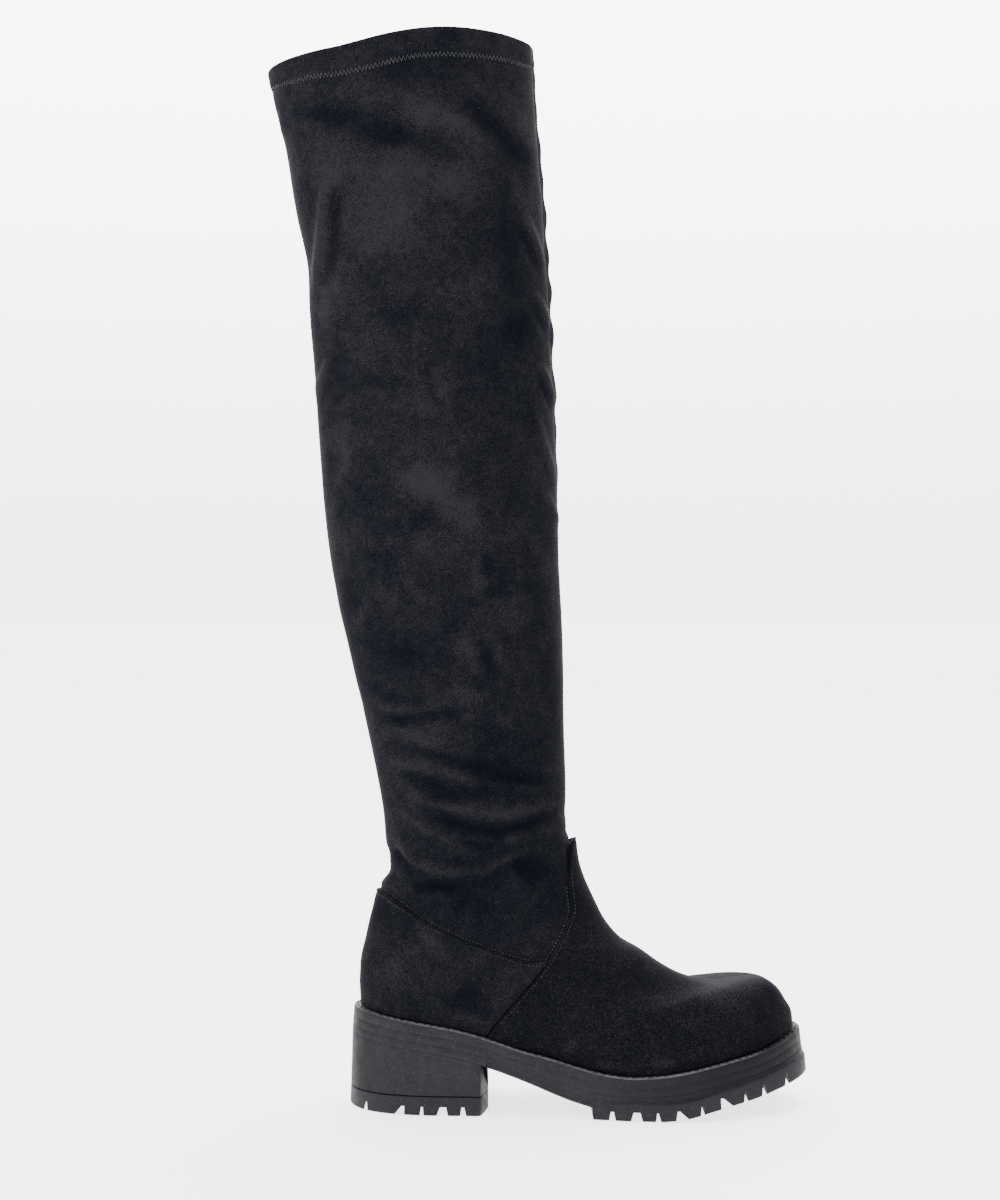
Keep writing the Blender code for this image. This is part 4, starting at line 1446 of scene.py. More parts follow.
@dataclass
class Panel:
    """What the two sewn panels share: their thickness and how their edges turn over."""

    clear: float = 0.0003
    thickness: float = 0.0014
    roll: float = 0.0016
    welted: float = 0.00060
    stitch_line: float = 0.0024
    # Share of the thickness at the very edge, half widths of the welted edge and of the stitched dip
    edge_share: float = 0.12
    welted_half: float = 0.0010
    dip: float = 0.00035
    dip_half: float = 0.0006
    edge_marks: tuple[float, ...] = (0.0, 0.0002, 0.0005, 0.0010, 0.0016, 0.0024, 0.0034, 0.0046, 0.0062)

    def profile(self, distance: Array) -> Array:
        """How far the panel's face stands out, by the distance from its sewn edge.

        Args:
            distance: Metres inwards from the edge.

        Returns:
            Metres outwards from the form.
        """
        share = np.clip(distance / self.roll, 0, 1)
        round_edge = np.sqrt(np.clip(1 - (1 - share) ** 2, 0, 1))
        rise = self.clear + self.thickness * (self.edge_share + (1 - self.edge_share) * round_edge)
        ridge = self.welted * bell(distance - self.stitch_line / 2, self.welted_half)
        return rise + ridge - self.dip * bell(distance - self.stitch_line, self.dip_half)

    def marks(self, width: Array, columns: int) -> Array:
        """Distances from one edge at which the columns of a row lie, finer near both edges.

        Args:
            width: Width of each row, in metres.
            columns: Points in a row.

        Returns:
            One row for each width.
        """
        edge = np.array(self.edge_marks)
        scale = np.clip(width / (4 * edge[-1]), 0.02, 1.0)[:, None]
        near = edge[None, :] * scale
        middle = np.linspace(0, 1, columns - 2 * len(edge) + 2)[1:-1]
        span = near[:, -1:] + (width[:, None] - 2 * near[:, -1:]) * middle[None, :]
        return np.concatenate([near, span, width[:, None] - near[:, ::-1]], axis=1)


@dataclass
class Vamp(Panel):
    """Front panel, from its point on the shin down to the sole."""

    columns: int = 176
    rows: int = 132
    samples: int = 240
    tip_lift: float = 0.0026
    tip_reach: float = 0.016
    # At the point: rows that are finer, their span, how far they end below it and its slope
    tip_rows: int = 14
    tip_span: float = 0.6
    tip_gap: float = 0.004
    tip_slope: float = 0.010
    # Gap between the coarse rows and the finer ones, and share of the tip's lift at the back
    row_gap: float = 0.04
    back_share: float = 0.6
    # Stitches: where they start above the sole, and the second row, which is outside the panel
    first_row: float = 1.4
    second_from: float = 9.2
    second_line: float = -0.0016
    # How much closer to the edge the first row runs further up, from where, and over how many rows
    narrowing: float = 0.0006
    narrow_from: float = 8.0
    narrow_over: float = 4.0
    # How far below the tip each row ends, and how many points carry it
    first_end: float = 1.2
    second_end: float = 1.6
    first_steps: int = 90
    second_steps: int = 60

    def edges(self, level: Array) -> tuple[Array, Array]:
        """How far round the panel starts and ends in each row.

        Args:
            level: Rows of the sections.

        Returns:
            The outer and the inner edge.
        """
        outer = np.array([SEAMS.vamp_turn(v, False) for v in level])
        inner = np.array([2 - SEAMS.vamp_turn(v, True) for v in level])
        return outer, inner

    def build(self) -> Piece:
        """The panel as a closed slab that follows the boot's surface.

        Returns:
            The object, with the tone of the nap and its painted light and shade kept on its points.
        """
        tip = SEAMS.tip_level() - self.tip_gap
        coarse = np.linspace(0, tip - self.tip_span, self.rows - self.tip_rows)
        levels = np.r_[coarse, np.linspace(tip - self.tip_span + self.row_gap, tip, self.tip_rows)]
        outer, inner = self.edges(levels)
        fine = np.linspace(0, 1, self.samples)
        around = outer[:, None] + (inner - outer)[:, None] * fine[None, :]
        base = FORM.surface(levels[:, None], around)
        steps = np.linalg.norm(np.diff(base, axis=1), axis=2)
        run = np.concatenate([np.zeros((len(levels), 1)), np.cumsum(steps, axis=1)], axis=1)
        wanted = self.marks(run[:, -1], self.columns)
        turn = np.array([np.interp(w, r, a) for w, r, a in zip(wanted, run, around)])
        edge = np.minimum(wanted, run[:, -1:] - wanted)
        level = np.broadcast_to(levels[:, None], turn.shape)
        point = FORM.surface(tip, 1.0)
        away = np.linalg.norm(FORM.surface(level, turn) - point, axis=2)
        lift = self.tip_lift * bell(away, self.tip_reach)
        top = run[-1, -1] / 2 + (tip - level) * self.tip_slope
        face, tone = dressed(level, turn, self.profile(np.minimum(edge, top)) + lift)
        back, _ = dressed(level, turn, self.clear + lift * self.back_share)
        piece = Shapes.slab("vamp_panel", face, back)
        Shapes.note(piece, "nap_and_painted_light", np.concatenate([tone, tone]))
        return piece

    def stitch_rows(self, thread: Thread) -> Piece:
        """Rows of stitches along both of the panel's edges.

        Args:
            thread: The thread that sews it.

        Returns:
            The object.
        """
        tip = SEAMS.tip_level()
        stitches = []
        full = np.linspace(self.first_row, tip - self.first_end, self.first_steps)
        upper_part = np.linspace(self.second_from, tip - self.second_end, self.second_steps)
        closer = self.stitch_line - self.narrowing * ease((full - self.narrow_from) / self.narrow_over)
        rows = ((full, closer), (upper_part, np.full(len(upper_part), self.second_line)))
        for levels, inside in rows:
            outer, inner = self.edges(levels)
            for edge, way in ((outer, 1), (inner, -1)):
                pace = FORM.frame_at(levels, edge)[2]
                turn = edge + way * inside / pace
                lift = np.where(inside > 0, self.profile(inside), 0.0)
                points, _ = dressed(levels, turn, lift + thread.radius * thread.seat)
                stitches += thread.row(points, FORM.frame_at(levels, turn)[1])
        return thread.sew("vamp_stitches", stitches)


@dataclass
class Counter(Panel):
    """Heel panel, up to its own seam and forward to the vamp's."""

    columns: int = 120
    rows: int = 70
    gap: float = 0.0005
    second_line: float = 0.0014
    samples: int = 60
    # Finer columns by the front seams and finer rows under the top one, as shares
    side_shares: tuple[float, ...] = (0, 0.004, 0.009, 0.016, 0.026, 0.04, 0.06)
    down_shares: tuple[float, ...] = (0, 0.004, 0.01, 0.018, 0.03, 0.045, 0.065, 0.09)
    # Where the even columns end, and where the even rows start
    even_columns: float = 0.92
    even_rows: float = 0.12
    # By the front seam the edge is turned over a shorter way
    front_scale: float = 1.6
    front_start: float = 0.0003
    # A row of stitches: the shares of the side that it spans, and its points
    row_span: Pair = (0.10, 0.985)
    row_steps: int = 110
    probe: float = 0.1

    def outline(self, fraction: Array) -> tuple[Array, Array, Array]:
        """For columns from the inner seam round the back to the outer one: side, turn, row.

        Args:
            fraction: -1 at the inner seam, 0 at the back, 1 at the outer seam.

        Returns:
            Whether each is on the inner side, its turn and its top row.
        """
        meet = {inner: SEAMS.meeting(inner) for inner in (False, True)}
        inner = fraction < 0
        turn = np.array([abs(f) * meet[bool(i)][1] for f, i in zip(fraction, inner)])
        top = np.array([SEAMS.counter_level(t, bool(i)) for t, i in zip(turn, inner)])
        return inner, turn, top

    def build(self) -> Piece:
        """The panel as a closed slab that follows the boot's surface.

        Returns:
            The object, with the tone of the nap and its painted light and shade kept on its points.
        """
        near = 1 - np.array(self.side_shares)
        inside = np.linspace(0, self.even_columns, (self.columns - 2 * len(near)) // 2)
        half = np.r_[inside, near[::-1]]
        fraction = np.r_[-half[::-1], half[1:]]
        inner, _, top = self.outline(fraction)
        top = smooth(fraction, top, fraction)
        down = self.down_shares
        share = 1 - np.r_[down, np.linspace(self.even_rows, 1, self.rows - len(down))]
        share = share[::-1]
        meet_row = {i: SEAMS.meeting(i)[0] for i in (False, True)}
        fine = np.linspace(0, 1, self.samples)
        front = {i: np.array([SEAMS.vamp_turn(v * meet_row[i], i) for v in fine]) for i in (False, True)}
        level = share[:, None] * top[None, :]
        turn = np.empty_like(level)
        for c, f in enumerate(fraction):
            i = bool(f < 0)
            edge = np.interp(share, fine, front[i])
            pace = FORM.frame_at(share * meet_row[i], 2 - edge if i else edge)[2]
            turn[:, c] = abs(f) * (edge - self.gap / pace)
        around = np.where(inner[None, :], 2 - turn, turn)
        base = FORM.surface(level, around)
        high = np.linalg.norm(base - base[-1:, :, :], axis=2)
        ahead = np.minimum(np.linalg.norm(base - base[:, :1, :], axis=2),
                           np.linalg.norm(base - base[:, -1:, :], axis=2))
        edge = np.minimum(high, ahead * self.front_scale + self.front_start)
        face, tone = dressed(level, around, self.profile(edge))
        back, _ = dressed(level, around, self.clear)
        piece = Shapes.slab("counter_panel", face, back)
        Shapes.note(piece, "nap_and_painted_light", np.concatenate([tone, tone]))
        return piece

    def stitch_rows(self, thread: Thread) -> Piece:
        """A row on the shaft above the counter's seam and one below it.

        Args:
            thread: The thread that sews it.

        Returns:
            The object.
        """
        stitches = []
        for above in (-self.stitch_line, self.second_line):
            for sign in (-1.0, 1.0):
                fraction = np.linspace(*self.row_span, self.row_steps) * sign
                inner, turn, top = self.outline(fraction)
                around = np.where(inner, 2 - turn, turn)
                rise = FORM.surface(top + self.probe, around) - FORM.surface(top - self.probe, around)
                level = top + above / (np.linalg.norm(rise, axis=1) / (2 * self.probe))
                lift = self.profile(np.array(-above)) if above < 0 else 0.0
                points, _ = dressed(level, around, lift + thread.radius * thread.seat)
                stitches += thread.row(points, FORM.frame_at(level, around)[1])
        return thread.sew("counter_stitches", stitches)


@dataclass
class Sole:
    """Welt, midsole with the heel block, outsole and top lift."""

    panel: float = 0.0014
    welt_margin: float = 0.004
    welt: float = 0.0055
    toe_flare: float = 0.004
    breast: float = 0.0441
    breast_depth: float = 0.0046
    breast_inset: float = 0.022
    top_lift: float = 0.0115
    tread_start: float = 0.1075
    arch_height: float = 0.0300
    shank: float = 0.0025
    toe_spring: float = 0.0197
    lug: float = 0.0055
    outsole: float = 0.0045
    edge_bevel: float = 0.0015
    lug_gap: float = 0.004
    channel: float = 0.0045
    channel_side: float = 0.012
    insole: float = 0.003
    wall: float = 0.0018
    columns: int = 120
    line_half: float = 0.00045
    heel_line: float = 0.00020
    front_line: float = 0.00010
    join_line: float = 0.0007
    join_height: float = 0.0003
    # Shares of a moulded line: at a join, and its depth and height where its sides turn
    join_keep: float = 0.7
    half_deep: float = 0.4
    half_wide: float = 0.6
    # The lines fade from this station on, over this share of the last
    fade_from: float = 0.16
    fade_over: float = 0.24
    least_step: float = 0.0004
    probe: float = 1e-3
    breast_gap: float = 0.0006
    rib_foot: float = 0.0012
    inset: float = 0.0008
    stitch_inset: float = 0.0019
    # Shares of the flare: welt's lower edge, midsole's two edges, join above the tread
    welt_share: float = 0.14
    midsole_head: float = 0.15
    midsole_foot: float = 0.81
    join_share: float = 0.82
    # Side grooves: share of the flare, depth below the midsole's top, most share of its depth
    grooves: tuple[tuple[float, float, float], ...] = ((0.30, 0.0050, 0.50), (0.45, 0.0098, 0.75))
    # Rounding of the welt's edge: inset and drop
    rounding: Pairs = ((0.0010, 0.0), (0.0004, 0.00015), (0.0001, 0.0004), (0.0, 0.0009))
    # Bevel round the tread: shares inwards and upwards
    bevel: Pairs = ((0.0, 1.0), (0.35, 0.35), (1.0, 0.0))
    breast_shares: tuple[float, ...] = (1.0, 0.85, 0.7, 0.55, 0.4, 0.25, 0.12)
    # In lugs: how far the cross cutters reach below the roots, and the channels' below the ground
    cross_reach: float = 1.6
    channel_reach: float = 3.0
    # Channels: how much shallower than the cross grooves, the shares of the last, the points
    roof_gap: float = 0.0006
    channel_start: float = 0.018
    channel_end: float = 0.900
    channel_steps: int = 12

    @property
    def ends(self) -> Pair:
        """X of the last's two ends."""
        return float(FORM.along(0)), float(FORM.along(1))

    def stations(self, start: float, end: float, extra: Sequence[float] = ()) -> Array:
        """X of the stations between two ends, crowded where the outline turns.

        Args:
            start: First station.
            end: Last station.
            extra: Stations that have to be there.

        Returns:
            The stations, rising.
        """
        turn = np.linspace(0, 1, self.columns + 1)
        xs = FORM.along((1 - np.cos(math.pi * turn)) / 2)
        inside = [x for x in xs if start + self.least_step < x < end - self.least_step]
        inside = [x for x in inside if all(abs(x - e) > self.least_step for e in extra)]
        return np.array(sorted(inside + [start, end] + list(extra)))

    def side(self, xs: Array, offset: Array, inner: bool) -> tuple[Array, Array]:
        """X and Y of one side of the sole's outline, offset along its normal.

        Args:
            xs: Stations.
            offset: Metres outwards at each.
            inner: Whether it is the inner side.

        Returns:
            X and Y at the stations.
        """
        turn = np.arccos(1 - 2 * np.clip(FORM.station(xs), 0, 1)) / math.pi
        before, after = np.clip(turn - self.probe, 0, 1), np.clip(turn + self.probe, 0, 1)
        dx = (np.cos(math.pi * before) - np.cos(math.pi * after)) / 2 * FORM.last_length
        dy = FORM.outline(after, inner) - FORM.outline(before, inner)
        length = np.hypot(dx, dy)
        width = FORM.outline(turn, inner)
        tip = width < NOTHING
        nx = np.where(tip, np.where(turn < 0.5, -1.0, 1.0), -dy / length)
        ny = np.where(tip, 0.0, dx / length)
        return xs + offset * nx, (1 if inner else -1) * (width + offset * ny)

    def layer(self, name: str, xs: Array, levels: Sequence[Level]) -> Piece:
        """A closed solid from outlines stacked downwards.

        Args:
            name: The object's name.
            xs: Stations along the sole.
            levels: Offsets and heights at the stations, one pair for each outline.

        Returns:
            The object, with the depth below the feather line kept on its points.
        """
        verts: list[Place] = []
        loops: list[Loop] = []
        rungs: list[list[list[int]]] = []
        for offset, height in levels:
            outer = self.side(xs, offset, False)
            inner = self.side(xs, offset, True)
            first = len(verts)
            ladder = [[first + i, first + i] for i in range(len(xs))]
            verts += [(outer[0][i], outer[1][i], height[i]) for i in range(len(xs))]
            loop = list(range(first, len(verts)))
            for i in reversed(range(len(xs))):
                if abs(inner[1][i]) > NOTHING:
                    ladder[i][1] = len(verts)
                    loop.append(len(verts))
                    verts.append((inner[0][i], inner[1][i], height[i]))
            loops.append(loop)
            rungs.append(ladder)
        faces: list[Loop] = []
        for upper, lower in zip(loops, loops[1:]):
            for i in range(len(upper)):
                j = (i + 1) % len(upper)
                faces.append([upper[i], upper[j], lower[j], lower[i]])
        for ladder in (rungs[0], rungs[-1]):
            for (a, b), (c, d) in zip(ladder, ladder[1:]):
                faces.append(list(dict.fromkeys((a, c, d, b))))
        piece = Shapes.piece(name, np.array(verts), faces)
        self.note_depth(piece)
        return piece

    @staticmethod
    def note_depth(piece: Piece) -> None:
        """Keep each point's depth below the feather line and its station, which the finish reads.

        Args:
            piece: The object.
        """
        mesh = piece.data
        co = np.empty(len(mesh.vertices) * 3)
        mesh.vertices.foreach_get("co", co)
        co = co.reshape(-1, 3)
        Shapes.note(piece, "depth", FORM.feather(co[:, 0]) - co[:, 2])
        Shapes.note(piece, "ahead", FORM.station(co[:, 0]))
        mesh.set_sharp_from_angle(angle=SHARP)

    def rim(self, xs: Array, share: float) -> Array:
        """How far the side stands outside the last, at a share of the way down."""
        flare = self.toe_flare * smooth(FLARE["station"], FLARE["spread"], FORM.station(xs))
        return FORM.clear + self.panel + self.welt_margin + flare * share

    def line_depth(self, xs: Array) -> Array:
        """Depth of the side's moulded lines: clear at the heel, faint further forward."""
        fade = ease((FORM.station(xs) - self.fade_from) / self.fade_over)
        return self.heel_line + (self.front_line - self.heel_line) * fade

    def spring(self, xs: Array) -> Array:
        """Rise of the tread toward the toe."""
        return self.toe_spring * smooth(SPRING["station"], SPRING["height"], FORM.station(xs))

    def arch(self, xs: Array) -> Array:
        """Height of the sole's underside between heel and tread."""
        return self.arch_height * smooth(ARCH["station"], ARCH["height"], FORM.station(xs))

    def floor(self, xs: Array) -> Array:
        """Underside of the sole in front of the heel."""
        return np.where(np.asarray(xs) <= self.tread_start, self.arch(xs), self.spring(xs))

    def outsole_top(self, xs: Array) -> Array:
        """Upper face of the outsole."""
        return np.maximum(self.lug + self.outsole + self.spring(xs), self.shank + self.arch(xs))

    def breast_curve(self, xs: Array) -> Array:
        """Inset of the side where the heel's front face curves back."""
        share = (xs - (self.breast - self.breast_depth)) / self.breast_depth
        return np.where((share > 0) & (xs <= self.breast), self.breast_inset * share ** 2, 0.0)

    def breast_stations(self) -> list[float]:
        """Stations that draw the heel's front face."""
        return [self.breast - self.breast_depth * share for share in self.breast_shares]

    def bevelled(self, xs: Array, inset: Array | float, low: Array) -> list[Level]:
        """Outlines of the bevel round the tread's lower edge."""
        side = self.rim(xs, 1.0) - inset
        return [(side - self.edge_bevel * a, low + self.edge_bevel * b) for a, b in self.bevel]

    def build_welt(self) -> Piece:
        """Top layer, whose rim stands out round the upper.

        Returns:
            The object.
        """
        xs = self.stations(*self.ends)
        top = FORM.feather(xs)
        levels = [(self.rim(xs, 0.0) - inset, top - drop) for inset, drop in self.rounding]
        side = self.rim(xs, self.welt_share)
        under = top - self.welt - FORM.clear
        levels += [(side, under + self.line_half), (side - self.line_depth(xs), under)]
        return self.layer("welt_rim", xs, levels)

    def build_midsole(self) -> Piece:
        """Middle layer with the heel block, grooved along its side.

        Returns:
            The object.
        """
        extra = self.breast_stations() + [self.breast, self.breast + self.join_height, self.tread_start]
        xs = self.stations(*self.ends, extra)
        top = FORM.feather(xs) - self.welt - FORM.clear
        bottom = np.where(xs <= self.breast, self.top_lift + FORM.clear, self.outsole_top(xs))
        depth = top - bottom
        half = self.line_half
        line = self.line_depth(xs)
        side = self.rim(xs, self.midsole_head)
        levels = [(side - line, top), (side, top - half)]
        for share, down, most in self.grooves:
            middle = top - np.minimum(down, depth * most)
            side = self.rim(xs, share)
            shoulder, rise = side - line * self.half_deep, half * self.half_wide
            levels += [(side, middle + half), (shoulder, middle + rise), (side - line, middle),
                       (shoulder, middle - rise), (side, middle - half)]
        under = np.maximum(middle - self.rib_foot, bottom + self.least_step)
        inset = self.breast_curve(xs)
        join = np.where(xs <= self.breast, self.join_line, line * self.join_keep)
        levels += [(side - inset, under),
                   (self.rim(xs, self.midsole_foot) - inset, bottom + self.join_height),
                   (self.rim(xs, self.join_share) - inset - join, bottom)]
        return self.layer("midsole_block", xs, levels)

    def cross_cutter(self, rows: Sequence[int]) -> Piece:
        """Cross grooves, wider at the floor than at their root.

        Args:
            rows: Rows of the table of grooves.

        Returns:
            The cutter.
        """
        bars = []
        for i in rows:
            root, mouth = FORM.along(GROOVES["root"][i]), FORM.along(GROOVES["mouth"][i])
            low, high = GROOVES["root_width"][i], GROOVES["mouth_width"][i]
            base = 0.0 if i < HEEL_GROOVES else float(self.floor(mouth))
            corners = []
            for share, way in ((0.0, -1), (0.0, 1), (self.cross_reach, 1), (self.cross_reach, -1)):
                half = (low + (high - low) * share) * self.lug_gap / 2
                corners.append((root + (mouth - root) * share + way * half, base + self.lug * (1 - share)))
            wide = FORM.last_width
            bars.append(np.array([[(x, y, z) for x, z in corners] for y in (-wide, wide)]))
        return Shapes.bars("cross_cutter", bars)

    def channel_cutter(self, start: float, end: float, heights: Array) -> Piece:
        """Two lengthwise channels that part the lugs into three columns.

        Args:
            start: Where they start.
            end: Where they end.
            heights: Height of their roof at even steps.

        Returns:
            The cutter.
        """
        low = -self.channel_reach * self.lug
        bars = []
        for side in (-1, 1):
            near, far = (side * (self.channel_side + way * self.channel / 2) for way in (-1, 1))
            bars.append(np.array([[(x, near, z), (x, near, low), (x, far, low), (x, far, z)]
                                  for x, z in zip(np.linspace(start, end, len(heights)), heights)]))
        return Shapes.bars("channel_cutter", bars)

    def carve(self, piece: Piece, cutters: Sequence[Piece]) -> Piece:
        """Cut the tread and keep the result as the piece's own mesh.

        Args:
            piece: The layer to cut.
            cutters: What is cut out; they are removed.

        Returns:
            The same piece.
        """
        for cutter in cutters:
            modifier = piece.modifiers.new(cutter.name, "BOOLEAN")
            modifier.operation = "DIFFERENCE"
            modifier.solver = "EXACT"
            modifier.object = cutter
        depsgraph = bpy.context.evaluated_depsgraph_get()
        mesh = bpy.data.meshes.new_from_object(piece.evaluated_get(depsgraph))
        piece.modifiers.clear()
        piece.data = mesh
        for cutter in cutters:
            bpy.data.objects.remove(cutter, do_unlink=True)
        mesh.shade_smooth()
        mesh.set_sharp_from_angle(angle=SHARP)
        return piece

    def build_outsole(self) -> Piece:
        """Tread layer from the heel's front face to the toe, with its lugs cut out.

        Returns:
            The object.
        """
        front = self.tread_start + self.join_height
        start = self.breast + self.breast_gap
        xs = self.stations(start, self.ends[1], [self.tread_start, front])
        top, side = self.outsole_top(xs), self.rim(xs, self.join_share)
        levels = [(side - self.line_depth(xs) * self.join_keep, top), (side, top - self.join_height)]
        piece = self.layer("outsole_tread", xs, levels + self.bevelled(xs, 0.0, self.floor(xs)))
        end = float(FORM.along(self.channel_end))
        roof = self.floor(np.linspace(front, end, self.channel_steps)) + self.lug - self.roof_gap
        cutters = [self.cross_cutter(range(HEEL_GROOVES, len(GROOVES["root"]))),
                   self.channel_cutter(self.tread_start - self.lug_gap, end, roof)]
        return self.carve(piece, cutters)

    def build_top_lift(self) -> Piece:
        """Lowest layer of the heel, with its lugs cut out.

        Returns:
            The object.
        """
        xs = self.stations(self.ends[0], self.breast, self.breast_stations())
        flat = np.zeros(len(xs))
        inset = self.breast_curve(xs)
        side = self.rim(xs, self.join_share) - inset
        levels = [(side - self.join_line, flat + self.top_lift),
                  (side, flat + self.top_lift - self.least_step)]
        piece = self.layer("heel_tread", xs, levels + self.bevelled(xs, inset, flat))
        start = float(FORM.along(self.channel_start))
        roof = np.full(2, self.lug - self.roof_gap)
        cutters = [self.cross_cutter(range(HEEL_GROOVES)),
                   self.channel_cutter(start, self.breast + self.lug_gap, roof)]
        return self.carve(piece, cutters)

    def build_insole(self) -> Piece:
        """Sock inside the foot.

        Returns:
            The object.
        """
        xs = self.stations(*self.ends)
        inside = np.full(len(xs), -(self.wall + 3 * FORM.clear))
        base = FORM.feather(xs) + FORM.clear
        levels = [(inside - self.inset, base + self.insole), (inside, base + self.insole - self.inset),
                  (inside, base)]
        return self.layer("insole_sock", xs, levels)

    def welt_stitches(self, thread: Thread) -> Piece:
        """Dashes along the welt's upper face, close to the upper.

        Args:
            thread: The thread that sews it.

        Returns:
            The object.
        """
        xs = self.stations(*self.ends)
        inset = FORM.clear + self.panel + self.stitch_inset
        stitches = []
        for inner in (False, True):
            x, y = self.side(xs, np.full(len(xs), inset), inner)
            points = np.stack([x, y, FORM.feather(xs) + thread.radius * 0.5], axis=1)
            normals = np.tile(np.array([0.0, 0.0, 1.0]), (len(xs), 1))
            stitches += thread.row(points, normals)
        return thread.sew("welt_stitches", stitches)


@dataclass(frozen=True)
class Lamp:
    """A square soft box, its size in metres and its power in watts."""

    name: str
    place: Place
    size: float
    power: float
    colour: Colour

    def build(self, aim: Place) -> None:
        """Put the lamp up, turned toward a place.

        Args:
            aim: The place that it shines at.
        """
        lamp = bpy.data.lights.new(self.name, "AREA")
        lamp.shape = "SQUARE"
        lamp.size = self.size
        lamp.energy = self.power
        lamp.color = self.colour
        made = bpy.data.objects.new(self.name, lamp)
        made.location = self.place
        made.rotation_mode = "QUATERNION"
        made.rotation_quaternion = (Vector(aim) - Vector(self.place)).to_track_quat("-Z", "Y")
        bpy.context.scene.collection.objects.link(made)


@dataclass
class Studio:
    """Pale floor, soft light and the camera at the photo's place."""

    camera_at: Place = (0.052, -1.155, 0.306)
    lens: float = 56.7
    sensor: float = 36.0
    floor_half: float = 30.0
    front_sky: float = 0.26
    low_sky: float = 4.4
    high_sky: float = 8.5
    overhead: float = 5.5

    aim: Place = (0.05, 0.0, 0.3)
    lamps: tuple[Lamp, ...] = (
        Lamp("key_light", (-1.65, -1.15, 1.45), 0.5, 48.5, (1.0, 0.985, 0.975)),
        Lamp("fill_light", (1.7, -1.1, 0.7), 0.9, 2.0, (0.85, 0.92, 1.0)),
        Lamp("top_light", (0.45, 0.35, 2.3), 1.0, 40.0, (1.0, 1.0, 1.0)),
    )

    def build_floor(self) -> None:
        """A wide matt floor."""
        h = self.floor_half
        verts = np.array([(-h, -h, 0), (h, -h, 0), (h, h, 0), (-h, h, 0)], dtype=float)
        floor = Shapes.piece("studio_floor", verts, [(0, 1, 2, 3)])
        floor.data.materials.append(Paper().build())

    def build_sky(self) -> None:
        """A white surround, bright behind the boot and dim in front of it."""
        world = bpy.data.worlds.new("studio_surround")
        bpy.context.scene.world = world
        world.use_nodes = True
        tree = world.node_tree
        back = tree.nodes["Background"]
        back.inputs["Color"].default_value = WHITE
        place = tree.nodes.new("ShaderNodeTexCoord")
        parts = tree.nodes.new("ShaderNodeSeparateXYZ")
        tree.links.new(place.outputs["Generated"], parts.inputs["Vector"])
        ranges = (("Y", 0.0, 0.75, 0.0, 1.0), ("Z", 0.0, 0.35, self.low_sky, self.high_sky),
                  ("Z", 0.60, 0.95, self.front_sky, self.front_sky + self.overhead))
        found = []
        for axis, low, high, to_low, to_high in ranges:
            node = tree.nodes.new("ShaderNodeMapRange")
            node.interpolation_type = "SMOOTHSTEP"
            limits = zip(("From Min", "From Max", "To Min", "To Max"), (low, high, to_low, to_high))
            for name, value in limits:
                node.inputs[name].default_value = value
            tree.links.new(parts.outputs[axis], node.inputs["Value"])
            found.append(node.outputs["Result"])
        mixed = tree.nodes.new("ShaderNodeMath")
        mixed.operation = "MULTIPLY_ADD"
        for value, socket in zip(found, mixed.inputs):
            tree.links.new(value, socket)
        tree.links.new(mixed.outputs["Value"], back.inputs["Strength"])

    def build_light(self) -> None:
        """The surround and the soft boxes."""
        self.build_sky()
        for lamp in self.lamps:
            lamp.build(self.aim)

    def build_camera(self) -> None:
        """A level camera, square to the boot's side."""
        lens = bpy.data.cameras.new("photo_camera")
        lens.lens = self.lens
        lens.sensor_width = self.sensor
        made = bpy.data.objects.new("photo_camera", lens)
        made.location = self.camera_at
        made.rotation_euler = (math.radians(90), 0.0, 0.0)
        bpy.context.scene.collection.objects.link(made)
        bpy.context.scene.camera = made


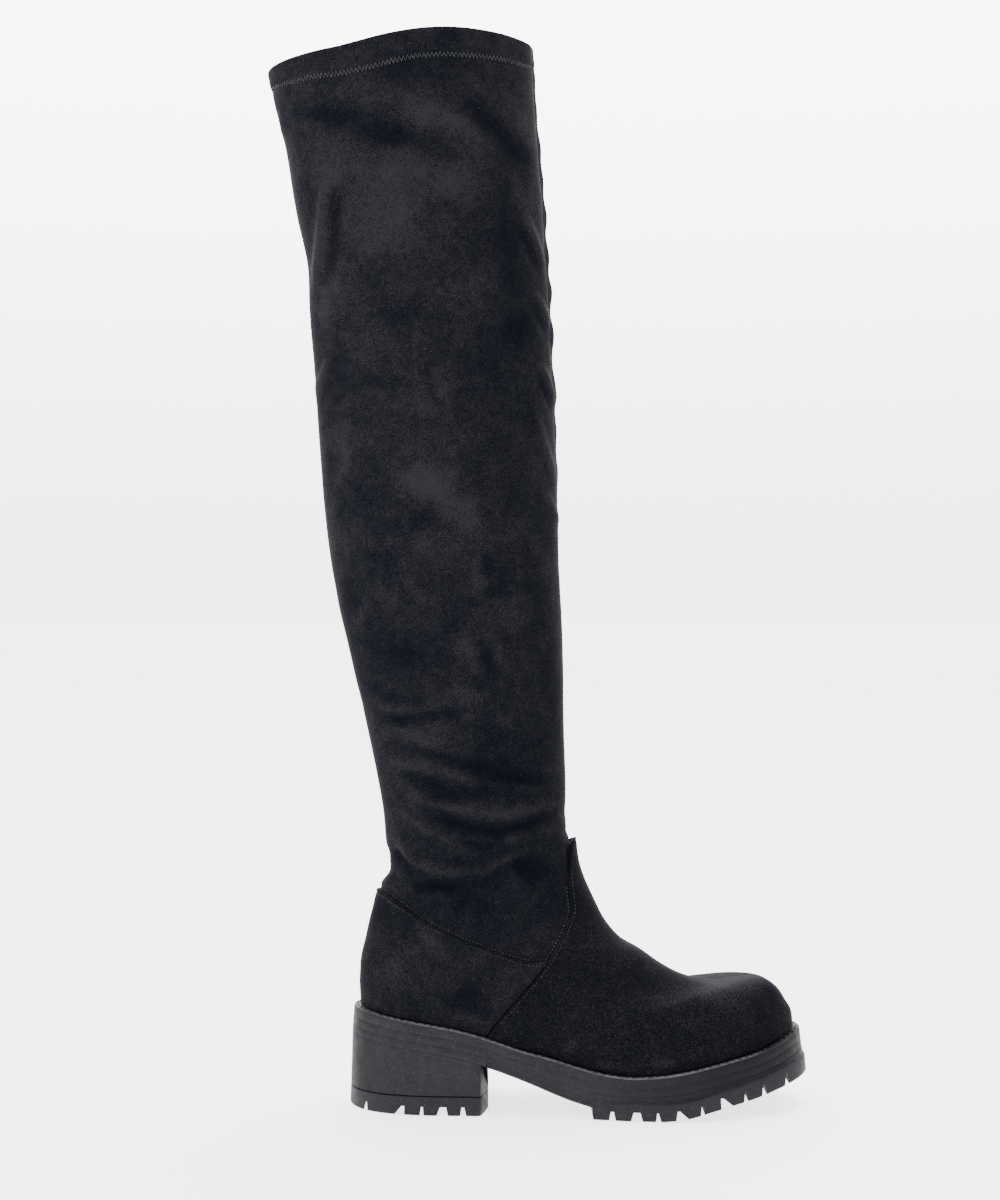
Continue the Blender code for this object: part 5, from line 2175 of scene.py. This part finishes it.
@dataclass
class Boot:
    """The whole boot: upper, panels, threads and sole."""

    upper: StretchUpper = field(default_factory=StretchUpper)
    vamp: Vamp = field(default_factory=Vamp)
    counter: Counter = field(default_factory=Counter)
    sole: Sole = field(default_factory=Sole)

    def build(self) -> None:
        """Build and dress each sub-assembly in turn."""
        tread_tones = (0.0095, 0.0098, 0.0115), (0.0150, 0.0153, 0.0175)
        shaft_suede = Suede("stretch_suede").build()
        vamp_suede = Suede("vamp_suede", (0.0011, 0.0015, 0.0029), (0.0026, 0.0030, 0.0048),
                           blotch=0.13).build()
        counter_suede = Suede("counter_suede", patch=42.0).build()
        grey_thread = Twist("hem_thread", (0.022, 0.022, 0.025), (0.046, 0.046, 0.051)).build()
        dark_thread = Twist("seam_thread", (0.006, 0.006, 0.008), (0.030, 0.030, 0.033)).build()
        block = Rubber("midsole_rubber", lines=0.00010).build()
        rim = Rubber("welt_rubber", lines=0.00006).build()
        tread = Rubber("outsole_rubber", *tread_tones).build()
        heel = Rubber("top_lift_rubber", *tread_tones).build()
        sock = Suede("insole_board", (0.020, 0.019, 0.019), (0.030, 0.028, 0.028),
                     (0.040, 0.037, 0.036)).build()
        hem_thread = Thread(0.00015)
        seam_thread = Thread(0.00024, 0.0013, 0.0023)
        welt_thread = Thread(0.00032, 0.0030, 0.0046)

        settle_piece(self.upper.build(), shaft_suede, ["upper"])
        settle_piece(self.upper.zigzag(hem_thread), grey_thread)
        settle_piece(self.vamp.build(), vamp_suede, ["vamp"])
        settle_piece(self.vamp.stitch_rows(seam_thread), dark_thread)
        settle_piece(self.counter.build(), counter_suede, ["counter"])
        settle_piece(self.counter.stitch_rows(seam_thread), dark_thread)
        settle_piece(self.sole.build_insole(), sock, ["insole"])
        settle_piece(self.sole.build_welt(), rim, ["welt"])
        settle_piece(self.sole.welt_stitches(welt_thread), dark_thread)
        settle_piece(self.sole.build_midsole(), block, ["midsole"])
        settle_piece(self.sole.build_outsole(), tread, ["outsole"])
        settle_piece(self.sole.build_top_lift(), heel, ["heel_top_lift"])


def main() -> None:
    """Set the studio, build the boot and log the faces of each piece."""
    logging.basicConfig(level=logging.INFO, format="%(name)s: %(message)s")
    studio = Studio()
    studio.build_camera()
    studio.build_floor()
    studio.build_light()
    Boot().build()


if __name__ == "__main__":
    main()
